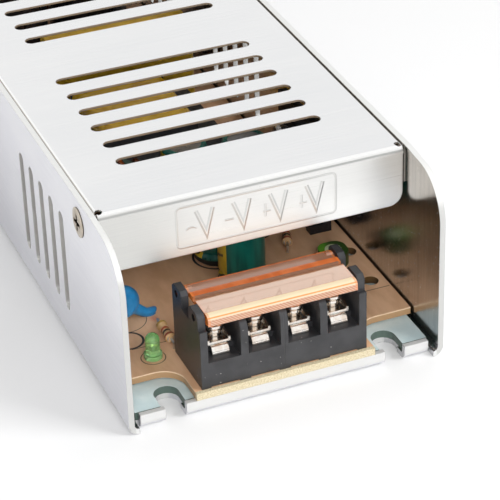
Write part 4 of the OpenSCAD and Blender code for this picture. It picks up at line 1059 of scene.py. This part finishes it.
# Cover screws
# Small countersunk cross-head screws through the walls hold the lid's side flanges.
# They are nickel plated over steel and a little yellowed, and the cross is painted dark as painted shade.
screw_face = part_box("cover_screws")[1].x / MM
shade_from, shade_full = 0.2, 0.34


def yellowed_nickel(tree):
    """Clouded and scuffed plate, painted dark as painted shade where the cross is sunk below the face."""
    place = surface_point(tree)
    scuffs = grain(place, 5, 4)
    sunk = abs(place.x).rise(screw_face - shade_from, screw_face - shade_full)
    colour = mottled(grain(place, 0.6, 3), tone(190, 177, 160), tone(214, 203, 188))
    return tree.node("BsdfPrincipled", sockets={
        # Painted shade: the sunk cross is painted dark brown.
        "Base Color": sunk.blend(colour, tone(64, 56, 48)), "Metallic": 1.0,
        "Roughness": 0.2 + scuffs * 0.22, "Normal": relief(tree, scuffs, 0.015, 0.15)})


dress(material("yellowed_nickel", yellowed_nickel), "cover_screws")

# Polarity marks
# Raised signs over the four output poles in a raised frame, pressed into the flange by one punch.
# Each stroke is a low ridge with sloping sides; the vees are bolder than the dashes.
frame_left, frame_right = -16.6, 17.3
frame_bottom, frame_top = 29.6, 38.7
frame_corner = 0.9
corner_steps = 6
frame_ridge = (0.5, 0.06)
vee_ridge = (0.9, 0.12)
dash_ridge = (0.5, 0.06)
ridge_root = 0.06
ridge_flat = 0.2
ridge_edge = 0.04
arch_steps = 9
arch_half, arch_drop = 1.15, 0.45
sign_first = -10.39
sign_pitch = 7.82


def ridge_points(path, width, height, closed):
    """A low ridge's section carried along a line on the flange: each path point plus the section's offset
    times the side direction there, lengthened at corners so that the ridge keeps its width, and its height
    outwards. The side direction is the outward one crossed with the line's own."""
    outward = np.array((0.0, -1.0, 0.0))
    line = np.stack([path[:, 0], np.full(len(path), flange_face), path[:, 1]], -1)
    along = np.roll(line, -1, 0) - line
    if not closed:
        along[-1] = along[-2]
    along /= np.linalg.norm(along, axis=1, keepdims=True)
    side = np.cross(outward, along)
    before = np.roll(side, 1, 0)
    if not closed:
        before[0] = side[0]
    side = (side + before) / (1 + (side * before).sum(1, keepdims=True))
    half = width / 2
    section = np.array([(-half, -ridge_root), (half, -ridge_root), (half, 0.0),
                        (half * ridge_flat, height), (-half * ridge_flat, height), (-half, 0.0)])
    return (line[:, None] + section[:, :1] * side[:, None] + section[:, 1:] * outward) * MM


def rounded_frame():
    """A rectangle with rounded corners, clockwise from above left: each corner's centre plus a quarter
    turn."""
    quarter = np.linspace(0, math.pi / 2, corner_steps)
    start = np.array([math.pi, math.pi / 2, 0, -math.pi / 2])
    angle = start[:, None] - quarter
    corner_x = np.array([frame_left, frame_right, frame_right, frame_left])
    corner_z = np.array([frame_top, frame_top, frame_bottom, frame_bottom])
    inset_x = np.array([1, -1, -1, 1]) * frame_corner
    inset_z = np.array([-1, -1, 1, 1]) * frame_corner
    return np.stack([(corner_x + inset_x)[:, None] + np.cos(angle) * frame_corner,
                     (corner_z + inset_z)[:, None] + np.sin(angle) * frame_corner], -1).reshape(-1, 2)


# The ridges' sloping flanks take the lid's painted reflection band, so they show grey.
pressed = material("pressed_lid", brushed_lid(ridge_edge))
vee = np.array([(-2.1, 37.2), (0.0, 31.6), (1.45, 37.3)])
arch = np.linspace(-1, 1, arch_steps)
bent_dash = np.stack([arch * arch_half, -arch ** 2 * arch_drop], -1) + (-3.15, 33.85)
dash = np.array([(-3.92, 33.6), (-2.07, 33.6)])
bar = np.array([(-3.6, 33.55), (-2.0, 33.55)])
upright = np.array([(-3.1, 35.3), (-3.1, 32.3)])
pole_signs = [[bent_dash], [dash], [bar, upright], [bar, upright]]
strokes = [(stroke + (sign_first + pole * sign_pitch, 0), ridge)
           for pole, sign in enumerate(pole_signs)
           for stroke, ridge in [(vee, vee_ridge)] + [(part, dash_ridge) for part in sign]]
for number, (path, ridge) in enumerate(strokes, 1):
    mark = skin(f"polarity_stroke_{number}", ridge_points(path, *ridge, False)[None])
    mark.data.materials.append(pressed)
    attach(mark, "case")
mark_frame = skin("polarity_frame", ridge_points(rounded_frame(), *frame_ridge, True)[None], True)
mark_frame.data.materials.append(pressed)
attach(mark_frame, "case")
